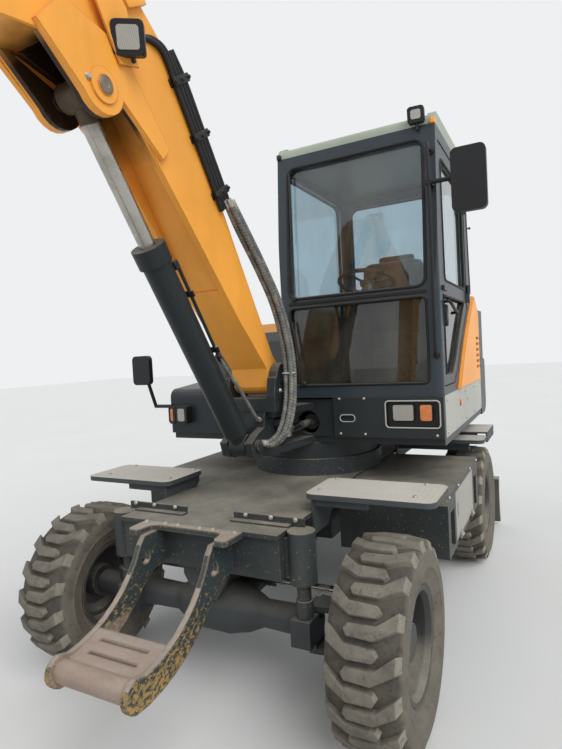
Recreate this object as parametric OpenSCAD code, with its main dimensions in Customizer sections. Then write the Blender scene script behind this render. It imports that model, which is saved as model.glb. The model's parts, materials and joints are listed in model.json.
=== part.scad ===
// Wheeled excavator of about six tonnes, standing with its blade low and its bucket ahead.
// Units are millimetres. +X is the machine's front, +Y its left, +Z up, and the ground is z = 0.

/* [Running gear] */
// Distance between the front and the rear axle
wheelbase = 2100; // [1900:10:2300]
// Distance between the middles of the left and right tyres
track = 1650; // [1560:10:1760]
// Outer diameter of a tyre over its lugs
tyre_d = 830; // [780:5:860]
// Width of a tyre
tyre_w = 300; // [260:5:320]
// Lugs on each shoulder of a tyre
lug_count = 18; // [14:1:22]
// Height of a lug over the tread
lug_deep = 28; // [18:1:34]
// Diameter of the rim's bead seat
bead_d = 420; // [380:5:450]
// Distance from the swing axis to the front axle
swing_to_front = 1200; // [1150:10:1300]
// Distance between the two kingpins
kingpin_span = 1200; // [1160:10:1220]

/* [Chassis] */
// Height of the deck's top face
deck_top = 860; // [840:5:880]
// Thickness of the deck plate
deck_t = 20; // [12:1:30]
// Width of the deck plate at the front
deck_w = 860; // [760:10:880]
// Width of the box frame under the deck
spine_w = 500; // [420:10:520]
// Underside of the box frame
spine_low = 600; // [580:5:640]
// Outer radius of the slewing ring
ring_r = 420; // [380:10:440]
// Height of the fender plates' top face
fender_top = 950; // [930:5:970]
// Width across the fender plates
fender_span = 2000; // [1900:10:2040]

/* [Blade] */
// Width of the blade
blade_w = 1925; // [1800:5:1960]
// Height of the blade
blade_h = 380; // [340:5:400]
// Height of the blade's lower edge above the ground
blade_low = 30; // [20:5:60]
// Distance from the swing axis to the blade's front face
blade_back = 1650; // [1600:10:1700]

/* [Upper structure] */
// Underside of the revolving frame
house_low = 1060; // [1050:5:1080]
// Width of the revolving frame
house_w = 1840; // [1780:10:1880]
// Radius of the counterweight's back
tail_r = 1650; // [1600:10:1700]
// Top of the counterweight
counterweight_top = 1480; // [1400:10:1520]
// Top of the engine hood
hood_top = 1860; // [1800:10:1900]

/* [Cab] */
// Front face of the cab
cab_front = 390; // [360:5:400]
// Length of the cab
cab_len = 1130; // [1060:10:1180]
// Width of the cab
cab_w = 950; // [900:10:980]
// Underside of the cab
cab_low = 1330; // [1310:5:1350]
// Top of the cab's roof
cab_top = 2850; // [2780:10:2900]
// Thickness of the cab's walls
cab_t = 45; // [35:1:60]

/* [Working arm] */
// Width of the boom
boom_w = 220; // [200:5:240]
// Width of the arm
arm_w = 150; // [130:2:156]
// Distance from the arm's pin to the bucket's pin
arm_len = 1600; // [1500:10:1700]
// Width of the bucket
bucket_w = 660; // [560:10:700]
// Distance from the bucket's pin to its tooth tips
bucket_r = 900; // [860:10:940]
// Number of teeth on the bucket
teeth = 5; // [4:1:6]
// Diameter of the main pins
pin_d = 60; // [50:1:64]

/* [Hidden] */
$fn = 48;
// Clearance round a pin in its eye, between seated pieces, and between moving ones
pin_gap = 0.08;
seat = 0.3;
clear = 6;
// The part's origin is under the middle of the whole machine
machine_x = -1052;

front_x = swing_to_front;
rear_x = swing_to_front - wheelbase;
axle_z = tyre_d / 2;
half_track = track / 2;
tyre_in = half_track - tyre_w / 2;
tyre_out = half_track + tyre_w / 2;
kingpin_y = kingpin_span / 2;
deck_low = deck_top - deck_t;
ring_z = (deck_top + house_low) / 2;
house_top = house_low + 40;
half_house = house_w / 2;
cab_y1 = half_house;
cab_y0 = cab_y1 - cab_w;
cab_rear = cab_front - cab_len;
roof_low = cab_top - 60;

// Pivots of the working arm in the machine's side view, as [x, z]
post_x = 720;
boom_foot = [750, 1470];
boom_tip = [3480, 2390];
boom_eye = [1895, 2543];
ram_foot = [950, 1140];
arm_angle = 253;
arm_pin = boom_tip;
u_arm = [cos(arm_angle), sin(arm_angle)];
n_arm = [-u_arm[1], u_arm[0]];
function on_arm(s, t) = arm_pin + s * u_arm + t * n_arm;
bucket_pin = on_arm(arm_len, 0);
horn_pin = arm_pin + 400 * [cos(45), sin(45)];
arm_ram_foot = [2080, 3120];
bucket_ram_foot = on_arm(150, 230);
rocker_pin = on_arm(arm_len - 300, 15);
rocker_len = 280;
link_len = 320;
tooth_angle = 250;
link_eye = bucket_pin + 250 * [cos(tooth_angle + 110), sin(tooth_angle + 110)];
function dist(a, b) = norm(b - a);
function dir(a, b) = atan2(b[1] - a[1], b[0] - a[0]);
// The far corner of a triangle on a and b with sides ra and rb, on the left of the way from a to b
function corner(a, b, ra, rb) =
    let (d = dist(a, b), c = (ra * ra + d * d - rb * rb) / (2 * ra * d))
    a + ra * [cos(dir(a, b) + acos(c)), sin(dir(a, b) + acos(c))];
rocker_eye = corner(rocker_pin, link_eye, rocker_len, link_len);
blade_pin = [-1350, 500];
blade_ram_foot = [-1350, 770];
blade_ram_eye = [-1600, 400];
swing_foot = [-150, 115];
swing_eye = [705, 120];
steer_rod = [front_x - 175, axle_z + 75];
swing_z = 1180;

machine_yellow = [0.93, 0.62, 0.22];
machine_grey = [0.18, 0.22, 0.25];
light_grey = [0.66, 0.68, 0.66];
rubber_grey = [0.25, 0.24, 0.23];
chrome = [0.8, 0.8, 0.82];

// Places a piece that is drawn round the swing axis
module at_machine() {
    translate([machine_x, 0, 0])
        children();
}

// A profile in the side view, x and z, as a plate from y0 to y1
module side_plate(y0, y1) {
    translate([0, y1, 0])
        rotate([90, 0, 0])
            linear_extrude(y1 - y0)
                children();
}

// A profile in the front view, y and z, as a plate from x0 to x1
module front_plate(x0, x1) {
    translate([x0, 0, 0])
        rotate([90, 0, 90])
            linear_extrude(x1 - x0)
                children();
}

// A profile in the plan, x and y, as a plate from z0 to z1
module flat_plate(z0, z1) {
    translate([0, 0, z0])
        linear_extrude(z1 - z0)
            children();
}

module block(a, b) {
    translate(a)
        cube(b - a);
}

// A round bar across the machine, centred on the side view's point p
module cross_bar(p, r, y0, y1) {
    translate([p[0], y0, p[1]])
        rotate([-90, 0, 0])
            cylinder(r = r, h = y1 - y0);
}

// A round bar in the side view from a to b at the offset y
module side_bar(a, b, r, y = 0) {
    translate([a[0], y, a[1]])
        rotate([0, 90 - dir(a, b), 0])
            cylinder(r = r, h = dist(a, b));
}

module round_rect(a, b, r) {
    translate([a[0] + r, a[1]])
        square([b[0] - a[0] - 2 * r, b[1] - a[1]]);
    translate([a[0], a[1] + r])
        square([b[0] - a[0], b[1] - a[1] - 2 * r]);
    for (x = [a[0] + r, b[0] - r], y = [a[1] + r, b[1] - r])
        translate([x, y])
            circle(r = r, $fn = 24);
}

// Points of an arc round c from angle a0 to a1
function arc(c, r, a0, a1, n = 6) = [for (i = [0 : n]) c + r * [cos(a0 + (a1 - a0) * i / n),
    sin(a0 + (a1 - a0) * i / n)]];

// Copies a piece to the other side of the machine
module both_sides() {
    children();
    mirror([0, 1, 0])
        children();
}

// Running gear

module chassis_frame() at_machine() color(machine_grey) {
    difference() {
        union() {
            flat_plate(deck_low, deck_top)
                polygon([[1400, deck_w / 2], [900, deck_w / 2], [640, 380], [-500, 380], [-700, 400],
                    [-1180, 400],
                    [-1300, 300], [-1300, -300], [-1180, -400], [-700, -400], [-500, -380], [640, -380],
                    [900, -deck_w / 2], [1400, -deck_w / 2]]);
            block([-1300, -spine_w / 2, spine_low], [1150, spine_w / 2, deck_low]);
            block([1150, -deck_w / 2 + 5, 660], [1380, deck_w / 2 - 5, deck_low]);
            // Brackets that carry the front axle's pivot
            for (x = [1070, 1302])
                front_plate(x, x + 28)
                    polygon([[-120, spine_low + 60], [120, spine_low + 60], [120, spine_low], [60, 500],
                        [-60, 500], [-120, spine_low]]);
            // Lower race of the slewing ring
            translate([0, 0, deck_top])
                cylinder(r = ring_r, h = ring_z - deck_top - seat);
            // Angle bars that stop what lies on the deck
            both_sides() {
                block([1255, 135, deck_top], [1265, 490, deck_top + 35]);
                block([1265, 135, deck_top], [1300, 428, deck_top + 8]);
            }
            // Lugs of the blade's arms and of its ram
            for (y = [-262, 222])
                side_plate(y, y + 40)
                    polygon([[-1220, 640], [-1220, 430], [-1350, 430], [-1400, 460], [-1400, 540],
                        [-1300, 640]]);
            for (y = [-62, 37])
                side_plate(y, y + 25)
                    polygon([[-1290, 838], [-1290, 700], [-1345, 715], [-1395, 755], [-1395, 790],
                        [-1360, 825]]);
        }
        for (y = [-1, 1])
            cross_bar(blade_pin, pin_d / 2 + pin_gap, y > 0 ? 200 : -300, y > 0 ? 300 : -200);
        // Way in for the axle's own pivot pin
        translate([1000, 0, 540])
            rotate([0, 90, 0])
                cylinder(r = 28 + seat, h = 400);
    }
    cross_bar(blade_ram_foot, 20, -75, 75);
}

step_t = 25;
step_y = 195;
module front_step() at_machine() color(machine_grey) {
    // Side plates that sweep forward and down, with a round eye for tying down
    both_sides() difference() {
        side_plate(step_y - step_t, step_y)
            polygon(concat([[1380 + seat, 835], [1380 + seat, 680], [1470, 668]],
                arc([1975, 1000], 575, 222, 266, 6),
                arc([1985, 487], 60, 265, 445, 8), arc([1975, 1000], 470, 266, 205, 8), [[1520, 834]]));
        cross_bar([1520, 737], 26, step_y - step_t - 10, step_y + 10);
    }
    // Thick top plate with two worn tips
    flat_plate(835, 860)
        polygon([[1400 + seat, 265], [1455, 265], [1515, 262], [1530, 248], [1530, 210], [1515, 198],
            [1455, 188], [1440, 160], [1440, -160], [1455, -188], [1515, -198], [1530, -210],
                [1530, -248],
            [1515, -262], [1455, -265], [1400 + seat, -265]]);
    // Tread with two slots, and the tube along its edge
    difference() {
        side_plate(-step_y + step_t, step_y - step_t)
            polygon([[1800, 545], [1960, 500], [1960, 515], [1800, 560]]);
        for (x = [1840, 1900])
            block([x, -120, 400], [x + 14, 120, 700]);
    }
    cross_bar([1985, 487], 42, -step_y + step_t, step_y - step_t);
}

module fender_plate(x0, x1, y0, y1) {
    difference() {
        flat_plate(fender_top - 25, fender_top)
            round_rect([x0, y0], [x1, y1], 45);
        flat_plate(fender_top - 30, fender_top - 6)
            round_rect([x0 + 6, y0 + 6], [x1 - 6, y1 - 6], 39);
    }
}

module fenders() at_machine() color(light_grey) {
    both_sides() {
        fender_plate(750, 1080, 400, fender_span / 2);
        side_plate(deck_w / 2 + seat, deck_w / 2 + 12)
            polygon([[905, 760], [1060, 760], [1060, fender_top - 5], [760, fender_top - 5],
                [760, 880]]);
        block([760, deck_w / 2 + 11, fender_top - 60], [790, 700, fender_top - 5]);
        block([1030, deck_w / 2 + 11, fender_top - 60], [1055, 700, fender_top - 5]);
        // Rear step and the fender behind it
        fender_plate(-700, -470, 560, fender_span / 2);
        block([-1080, 620, 960], [-700 - seat, fender_span / 2, 972]);
        block([-1080, fender_span / 2 - 12, 900], [-700 - seat, fender_span / 2, 961]);
        block([-560, 401, fender_top - 80], [-520, 900, fender_top - 5]);
        block([-960, 401, fender_top - 60], [-920, 900, 961]);
        block([-1000, 400 + seat, 800], [-480, 412, fender_top - 26]);
    }
}

box_x0 = -420;
box_x1 = 597;
box_y1 = 958;
box_z0 = 530;
module toolbox() at_machine() color(machine_grey) {
    for (x = [-120, 280]) {
        box_knuckle(x, 7);
        block([x, box_y1 - 1, box_z0 + 2], [x + 50, box_hinge[0], box_z0 + 18]);
        translate([-20, 0, 0])
            box_knuckle(x, 3.5);
    }
    for (side = [1, -1]) mirror([0, side > 0 ? 0 : 1, 0]) difference() {
        block([box_x0, 380 + seat, box_z0], [box_x1, box_y1, deck_top - 10]);
        // Open steps at the front and the rear of the outer face
        block([box_x1 - 170, 700, box_z0 + 25], [box_x1 - 60, box_y1 + 10, deck_top - 110]);
        block([box_x0 + 60, 700, box_z0 + 25], [box_x0 + 170, box_y1 + 10, deck_top - 110]);
        // Sloped front corner
        translate([box_x1, 0, deck_top - 10])
            rotate([0, 45, 0])
                cube([70, 2400, 70], center = true);
        // Compartment behind the door
        if (side > 0)
            block([box_x0 + 210, 420, box_z0 + 20], [box_x1 - 210, box_y1 + 10, deck_top - 40]);
        else
            block([box_x0 + 210, box_y1 - 20, box_z0 + 20], [box_x1 - 210, box_y1 + 10, deck_top - 40]);
    }
}

// Hinge line of the door, along its lower edge
box_hinge = [box_y1 + 8, box_z0 + 20];
module box_knuckle(x, r) {
    translate([x, box_hinge[0], box_hinge[1]])
        rotate([0, 90, 0])
            cylinder(r = r, h = 50);
}

door_x0 = box_x0 + 214;
door_x1 = box_x1 - 214;
module toolbox_door() at_machine() color(light_grey) {
    difference() {
        block([door_x0, box_y1 - 18, box_z0 + 26], [door_x1, box_y1, deck_top - 46]);
        translate([door_x1 - 60, box_y1 + 5, deck_top - 150])
            rotate([90, 0, 0])
                linear_extrude(30)
                    round_rect([-12, -40], [12, 40], 11.9);
    }
    difference() {
        for (x = [-170 - seat, 230 - seat]) {
            box_knuckle(x, 7);
            block([x, box_y1 - 2, box_hinge[1]], [x + 50, box_hinge[0], box_hinge[1] + 22]);
        }
        for (x = [-172, 228])
            box_knuckle(x + 5, 3.5 + pin_gap);
    }
}

lock_y = deck_w / 2 + 60 + seat;
module lock_cylinders() at_machine() color(machine_grey) both_sides() {
    translate([1300, lock_y, 640])
        cylinder(r = 60, h = deck_top - 1 - 640);
    block([1262, deck_w / 2 - 5 + seat, 665], [1338, lock_y, 830]);
    translate([1300, lock_y, 560])
        cylinder(r = 30, h = 81);
    translate([1300, lock_y, axle_z + 75 + seat])
        cylinder(r = 37, h = 565 - axle_z - 75);
}

// Half of a driven axle's housing, revolved round its own line
module axle_housing(x, half, bulge) {
    translate([x, 0, axle_z])
        rotate([-90, 0, 0])
            rotate_extrude()
                polygon([[0, -half], [68, -half], [62, -240], [95, -170], [bulge, -70], [bulge, 70],
                    [95, 170], [62, 240], [68, half], [0, half]]);
}

// Where the yokes of the kingpins start, inward of the pins
yoke_y = kingpin_y - 100;

module front_axle() at_machine() color(machine_grey) {
    difference() {
        union() {
            axle_housing(front_x, yoke_y + 4, 118);
            // Lug that rocks on the frame's pivot pin
            translate([front_x - 90, 0, 540])
                rotate([0, 90, 0])
                    cylinder(r = 55, h = 180);
            block([front_x - 90, -50, axle_z], [front_x + 90, 50, 540]);
            // Pads under the lock cylinders
            both_sides() block([1250, yoke_y - 60, axle_z + 30], [1350, yoke_y + 30, axle_z + 75]);
            both_sides() block([1200, yoke_y - 60, axle_z - 40], [1350, yoke_y + 30, axle_z + 40]);
            // Yokes that hold the kingpins
            both_sides() for (z = [axle_z - 105, axle_z + 80])
                flat_plate(z, z + 25)
                    polygon(concat([[front_x - 60, yoke_y]], arc([front_x, kingpin_y], 48, 180, 0, 8),
                        [[front_x + 60, yoke_y]]));
            both_sides() block([front_x - 34, yoke_y - 20, axle_z - 105],
                [front_x + 60, yoke_y + 14, axle_z + 105]);
            // Cylinder of the steering, behind the axle
            cross_bar(steer_rod, 30, -200, 200);
            block([steer_rod[0], -150, axle_z + 45], [front_x - 40, 150, axle_z + 68]);
        }
        cross_bar(steer_rod, 18 + 1, -260, 260);
        both_sides() translate([front_x, kingpin_y, axle_z - 110])
            cylinder(r = 22 + pin_gap, h = 220);
    }
    translate([front_x - 132, 0, 540])
        rotate([0, 90, 0])
            cylinder(r = 28, h = 264);
}

module rear_axle() at_machine() color(machine_grey) {
    axle_housing(rear_x, half_track - 60, 118);
    both_sides() block([rear_x - 70, 180, axle_z], [rear_x + 70, 240, spine_low - seat]);
    both_sides() cross_bar([rear_x, axle_z], shaft_r, half_track - 70, half_track + 38);
}

module drive_line() at_machine() color(machine_grey) {
    block([-160, -140, 400], [160, 140, spine_low - seat]);
    translate([160, 0, axle_z - 15])
        rotate([0, 90, 0])
            cylinder(r = 35, h = front_x - 160 - 118 - seat);
    translate([rear_x + 118 + seat, 0, axle_z - 15])
        rotate([0, 90, 0])
            cylinder(r = 35, h = -160 - rear_x - 118 - seat);
}

module steering_rod() at_machine() color(chrome) {
    cross_bar(steer_rod, 18, -kingpin_y + 20, kingpin_y - 20);
    both_sides() translate([steer_rod[0], kingpin_y - 20, axle_z + 45 + seat])
        cylinder(r = 26, h = 50);
}

module knuckle(side) {
    mirror([0, side > 0 ? 0 : 1, 0]) {
        translate([front_x, kingpin_y, axle_z - 108])
            cylinder(r = 22, h = 216);
        translate([front_x, kingpin_y, axle_z - 75])
            cylinder(r = 45, h = 150);
        cross_bar([front_x, axle_z], 60, kingpin_y, half_track - 60);
        cross_bar([front_x, axle_z], shaft_r, half_track - 70, half_track + 38);
        // Arm that the steering rod pushes
        flat_plate(axle_z + 20, axle_z + 45)
            polygon(concat([[front_x, kingpin_y + 35], [front_x, kingpin_y - 30]],
                arc([steer_rod[0], kingpin_y - 20], 26, 270, 90, 6)));
    }
}
module knuckle_left() at_machine() color(machine_grey) knuckle(1);
module knuckle_right() at_machine() color(machine_grey) knuckle(-1);

tread_r = tyre_d / 2 - lug_deep;
// Corners of one bent lug, from the shoulder over the elbow to the tip and back, as way round, way
// across
// and radius at its foot, and way across and radius at its top
LUG_ROUND = 0;
FOOT_ACROSS = 1;
FOOT_R = 2;
TOP_ACROSS = 3;
TOP_R = 4;
lug_table = [
    [-88, tyre_w / 2 - 5, tread_r - 24, tyre_w / 2 - 22, tyre_d / 2 - 10],
    [-22, tyre_w / 2 - 5, tread_r - 24, tyre_w / 2 - 22, tyre_d / 2 - 10],
    [27, 48, tread_r, 46, tyre_d / 2],
    [24, -52, tread_r, -50, tyre_d / 2],
    [0, -68, tread_r, -64, tyre_d / 2],
    [-22, -52, tread_r, -50, tyre_d / 2],
    [-26, 60, tread_r, 56, tyre_d / 2]];
// Rings of the sidewall down to the bead, as [radius, way across]
bead_r = bead_d / 2 / cos(5.6);
side_rings = [[310, tyre_w / 2], [bead_d / 2 + 30, tyre_w * 0.42], [bead_r, tyre_w * 0.352]];
// Numbers of a lug's corners in the table, and where its foot, top and ring points start
A = 0;
B = 1;
C = 2;
D = 3;
TIP = 4;
E = 5;
F = 6;
TOP = 7;
RING = 14;
PER_LUG = 20;

function on_tyre(r, round, y, i, h) =
    let (a = 360 / lug_count * (i + h / 2) + round / (tyre_d / 2) * 180 / PI)
    [r * cos(a), (h > 0 ? -1 : 1) * y, r * sin(a)];
function lug_points(i, h) = concat(
    [for (c = lug_table) on_tyre(c[FOOT_R], c[LUG_ROUND], c[FOOT_ACROSS], i, h)],
    [for (c = lug_table) on_tyre(c[TOP_R], c[LUG_ROUND], c[TOP_ACROSS], i, h)],
    [for (ring = side_rings, c = [A, B]) on_tyre(ring[0], lug_table[c][LUG_ROUND], ring[1], i, h)]);
function number(i, h, k) = ((i + lug_count) % lug_count * 2 + h) * PER_LUG + k;
function quad(a, b, c, d) = [[a, b, c], [a, c, d]];
function turned(faces, h) = [for (f = faces) h > 0 ? [f[2], f[1], f[0]] : f];

// Faces that belong to one lug: its top, its walls, the grooves up to the next lug, the shoulder
// and sidewall
function lug_faces(i, h) =
    let (n = [for (k = [0 : PER_LUG - 1]) number(i, h, k)],
        m = [for (k = [0 : PER_LUG - 1]) number(i + h, 1 - h, k)],
        o = [for (k = [0 : PER_LUG - 1]) number(i + 1, h, k)],
        loop = [A, F, E, TIP, D, C, B, A])
    turned(concat(
        [for (t = [[A, F, B], [F, C, B], [F, E, C], [E, D, C], [E, TIP, D]]) [for (k = t) n[k + TOP]]],
        [for (k = [0 : 6]) each quad(n[loop[k + 1] + TOP], n[loop[k] + TOP], n[loop[k]],
            n[loop[k + 1]])],
        [[n[TIP], m[A], m[F]], [n[D], n[TIP], m[F]], [n[D], m[F], m[E]], [n[C], n[D], m[E]],
            [n[C], m[E], m[TIP]], [n[B], n[C], m[TIP]], [n[B], m[TIP], o[A]]],
        quad(n[A], n[B], n[RING + 1], n[RING]),
        quad(n[B], o[A], o[RING], n[RING + 1]),
        [for (k = [RING, RING + 2]) each concat(quad(n[k], n[k + 1], n[k + 3], n[k + 2]),
            quad(n[k + 1], o[k], o[k + 2], n[k + 3]))]), h);

// The bead's inner face, which joins both sidewalls
function bead_faces(i) =
    let (a0 = number(i, 0, 18), b0 = number(i, 0, 19), a1 = number(i + 1, 0, 18),
        c0 = number(i - 1, 1, 19), c1 = number(i, 1, 18), c2 = number(i, 1, 19))
    concat(quad(a0, b0, c1, c0), quad(b0, a1, c2, c1));

// A tyre with bent lugs in turn from both shoulders, as one faceted skin
module tyre(x, side) {
    translate([x, side * half_track, axle_z])
        rotate([0, 0, 180])
            polyhedron(
                points = [for (i = [0 : lug_count - 1], h = [0, 1]) each lug_points(i, h)],
                faces = concat([for (i = [0 : lug_count - 1], h = [0, 1]) each lug_faces(i, h)],
                    [for (i = [0 : lug_count - 1]) each bead_faces(i)]));
}
module tyre_front_left() at_machine() color(rubber_grey) tyre(front_x, 1);
module tyre_front_right() at_machine() color(rubber_grey) tyre(front_x, -1);
module tyre_rear_left() at_machine() color(rubber_grey) tyre(rear_x, 1);
module tyre_rear_right() at_machine() color(rubber_grey) tyre(rear_x, -1);

shaft_r = 45;
seat_r = bead_d / 2 - seat;
flange_r = bead_d / 2 + 12;
// A dished rim with its hub, turned so that the dish faces outwards
module rim(x, side) {
    translate([x, side * half_track, axle_z])
        mirror([0, side > 0 ? 0 : 1, 0])
            rotate([-90, 0, 0]) {
                rotate_extrude()
                    polygon([[flange_r, -121], [flange_r, -117.5], [seat_r, -107.5], [seat_r, 107.5],
                        [flange_r, 117.5], [flange_r, 121], [seat_r - 6, 121], [seat_r - 18, 95],
                        [seat_r - 18, 24], [172, 10], [140, 34], [100, 44], [shaft_r + pin_gap, 44],
                        [shaft_r + pin_gap, -40], [80, -40], [88, 26], [134, 22], [170, -4],
                        [seat_r - 18, -8], [seat_r - 18, -95], [seat_r - 6, -121]]);
                for (i = [0 : 7])
                    rotate(i * 45)
                        translate([120, 0, 30])
                            cylinder(r = 14, h = 30, $fn = 6);
                translate([0, 0, 40])
                    cylinder(r = 72, h = 48);
            }
}
module rim_front_left() at_machine() color(light_grey) rim(front_x, 1);
module rim_front_right() at_machine() color(light_grey) rim(front_x, -1);
module rim_rear_left() at_machine() color(light_grey) rim(rear_x, 1);
module rim_rear_right() at_machine() color(light_grey) rim(rear_x, -1);

// Blade

module blade() at_machine() color(machine_grey) {
    difference() {
        union() {
            side_plate(-blade_w / 2, blade_w / 2)
                polygon(concat([[-blade_back, blade_low + blade_h]],
                    [[-blade_back - 30, blade_low + blade_h + 10],
                        [-blade_back - 70, blade_low + blade_h + 10]],
                    arc([-blade_back - 470, blade_low + blade_h / 2], 440, 25, -22, 8),
                    [[-blade_back - 50, blade_low], [-blade_back - 20, blade_low]],
                    [[-blade_back, blade_low + 60]]));
            for (y = [-212, 172])
                side_plate(y, y + 40)
                    polygon(concat([[-blade_back - 5, 380], [-blade_back - 5, 120]], [[-1600, 130]],
                        arc(blade_pin, 55, -60, 120, 8), [[-1600, 420]]));
            for (y = [-70, 45])
                side_plate(y, y + 25)
                    polygon([[-blade_back - 5, 470], [-blade_back - 5, 330], [-1600, 340],
                        [-1560, 370], [-1560, 425],
                        [-1600, 455]]);
        }
        cross_bar(blade_pin, pin_d / 2 + pin_gap, -300, 300);
    }
    // Each arm's own pin, which turns in the chassis lug
    for (y = [-270, 170])
        cross_bar(blade_pin, pin_d / 2, y, y + 100);
}

function eye_at(foot, eye, s) = foot + s * [cos(dir(foot, eye)), sin(dir(foot, eye))];
function rod_of(r) = r * 0.56;

// Rams, each with its radius, the barrel's length, the half-width of its foot, where the barrel
// starts, how far the rod stands in it, how far it can go in further, and its pin's radius
RAM_R = 0;
RAM_LEN = 1;
RAM_HALF = 2;
RAM_START = 3;
RAM_IN = 4;
RAM_STROKE = 5;
RAM_PIN = 6;
boom_ram = [62, 1120, 46, 95, 270, 450, pin_d / 2];
arm_ram = [52, 1050, 40, 105, 110, 565, 25];
bucket_ram = [42, 790, 40, 95, 335, 295, 25];
blade_ram = [36, 300, 30, 70, 62, 90, 20];
swing_ram = [40, 480, 30, 70, 130, 145, 25];

module ram_barrel(foot, eye, ram) {
    r = ram[RAM_R];
    len = ram[RAM_LEN];
    half = ram[RAM_HALF];
    difference() {
        union() {
            cross_bar(foot, ram[RAM_PIN] * 1.9, -half, half);
            side_bar(foot, eye_at(foot, eye, ram[RAM_START] + 5), half - 3);
            side_bar(eye_at(foot, eye, ram[RAM_START]), eye_at(foot, eye, len), r);
            side_bar(eye_at(foot, eye, len - r * 1.3), eye_at(foot, eye, len), r * 1.18);
        }
        cross_bar(foot, ram[RAM_PIN] + pin_gap, -half - 5, half + 5);
        side_bar(eye_at(foot, eye, len - ram[RAM_IN] - ram[RAM_STROKE] - 8),
            eye_at(foot, eye, len + 5), rod_of(r) + 1);
    }
}

module ram_rod(foot, eye, ram, half) {
    side_bar(eye_at(foot, eye, ram[RAM_LEN] - ram[RAM_IN]), eye, rod_of(ram[RAM_R]));
    cross_bar(eye, ram[RAM_PIN] * 1.75, -half, half);
}

module blade_ram_barrel()
    at_machine() color(machine_grey) ram_barrel(blade_ram_foot, blade_ram_eye, blade_ram);
module blade_ram_rod() at_machine() color(chrome) ram_rod(blade_ram_foot, blade_ram_eye, blade_ram, 30);

// Upper structure

lug_r = 105;
module house_frame() at_machine() color(machine_grey) {
    difference() {
        union() {
            flat_plate(house_low, house_top)
                polygon([[cab_front - 30, half_house - 5], [-1100, half_house - 5],
                    [-1100, -half_house + 5],
                    [cab_front - 30, -half_house + 5]]);
            // Upper race of the slewing ring
            translate([0, 0, ring_z])
                cylinder(r = ring_r - 20, h = house_low - ring_z);
            // Front bulkhead and the two lugs that hold the swing post
            block([cab_front - 60, -290, house_top], [cab_front - 20, 285, 1320]);
            for (z = [[house_low, house_top], [1260, 1300]])
                flat_plate(z[0], z[1]) {
                    polygon([[cab_front - 30, 150], [post_x, lug_r], [post_x, -lug_r],
                        [cab_front - 30, -150]]);
                    translate([post_x, 0])
                        circle(r = lug_r);
                }
            block([cab_front - 30, -150, house_top], [cab_front + 130, -110, 1260]);
        }
        translate([post_x, 0, house_low - 10])
            cylinder(r = 40 + pin_gap, h = 300);
        translate([cab_front - 100, 116, swing_z])
            rotate([0, 90, 0])
                cylinder(r = 70, h = 200);
    }
    // Lug that holds the swing ram's foot
    translate([swing_foot[0], swing_foot[1], house_top])
        cylinder(r = 25, h = 130);
    block([swing_foot[0] - 50, swing_foot[1] - 50, house_top],
        [swing_foot[0] + 50, swing_foot[1] + 50, swing_z - 35]);
}

module tail_outline(r, w, x1) {
    intersection() {
        circle(r = r, $fn = 96);
        translate([-r, -w])
            square([r + x1, 2 * w]);
    }
}

module counterweight() at_machine() color(machine_grey) {
    low = house_low - 10;
    top = counterweight_top;
    difference() {
        intersection() {
            rotate_extrude($fn = 96)
                polygon(concat([[0, low], [tail_r - 90, low]],
                    arc([tail_r - 90, low + 90], 90, -60, 0, 3),
                    arc([tail_r - 40, top - 40], 40, 0, 90, 3), [[0, top]]));
            block([-tail_r - 10, -half_house, low - 10], [-1100 - seat, half_house, top + 10]);
        }
        // Shallow recess across the back, with the grille's slots in it
        for (a = [-20 : 4 : 20])
            rotate(a)
                block([-tail_r - 10, -28, top - 140], [-tail_r + 14, 28, top - 60]);
        flat_plate(house_top, top + 10)
            tail_outline(tail_r - 170, half_house - 150, -1090);
        translate([-1600, 0, house_low - 20])
            cylinder(r = 60, h = 60);
    }
}

module engine_hood() at_machine() color(machine_grey) {
    difference() {
        intersection() {
            flat_plate(counterweight_top + seat, hood_top)
                tail_outline(tail_r - 25, half_house - 8, -1102);
            side_plate(-half_house, half_house)
                polygon(concat([[-1102, counterweight_top], [-1102, hood_top]],
                    arc([-1480, hood_top - 140], 140, 90, 170, 6), [[-1650, counterweight_top]]));
        }
        intersection() {
            flat_plate(counterweight_top - 10, hood_top - 30)
                tail_outline(tail_r - 60, half_house - 40, -1090);
            side_plate(-half_house, half_house)
                polygon(concat([[-1090, counterweight_top - 20], [-1090, hood_top - 30]],
                    arc([-1480, hood_top - 140], 110, 90, 170, 6), [[-1610, counterweight_top - 20]]));
        }
        // Air slots in the top, and the exhaust's way out
        for (x = [-1380 : 45 : -1200], y = [-620, 120])
            block([x, y, hood_top - 60], [x + 22, y + 500, hood_top + 10]);
        translate([-1290, -720, hood_top - 60])
            cylinder(r = 42, h = 100);
    }
    for (y = hood_knuckles)
        cross_bar(hood_hinge, 9, y, y + 60);
    // Exhaust pipe, cut off level, and the lock's handle
    translate([-1290, -720, hood_top - 25])
        difference() {
            cylinder(r = 50, h = 70);
            translate([0, 0, -5])
                cylinder(r = 36, h = 80);
        }
    translate([-tail_r + 33, 0, counterweight_top + 60])
        rotate([90, 0, 0])
            linear_extrude(140, center = true)
                round_rect([-30, -18], [14, 18], 13);
}

// Knuckles of the hood's hinge, on the line along its top front edge
hood_hinge = [-1103, hood_top + 2];
hood_knuckles = [-700, 300];

module engine() at_machine() color([0.3, 0.3, 0.3]) {
    block([-1420, -360, house_top + seat], [-1110, 360, 1700]);
}

cover_front = 386;
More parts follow.
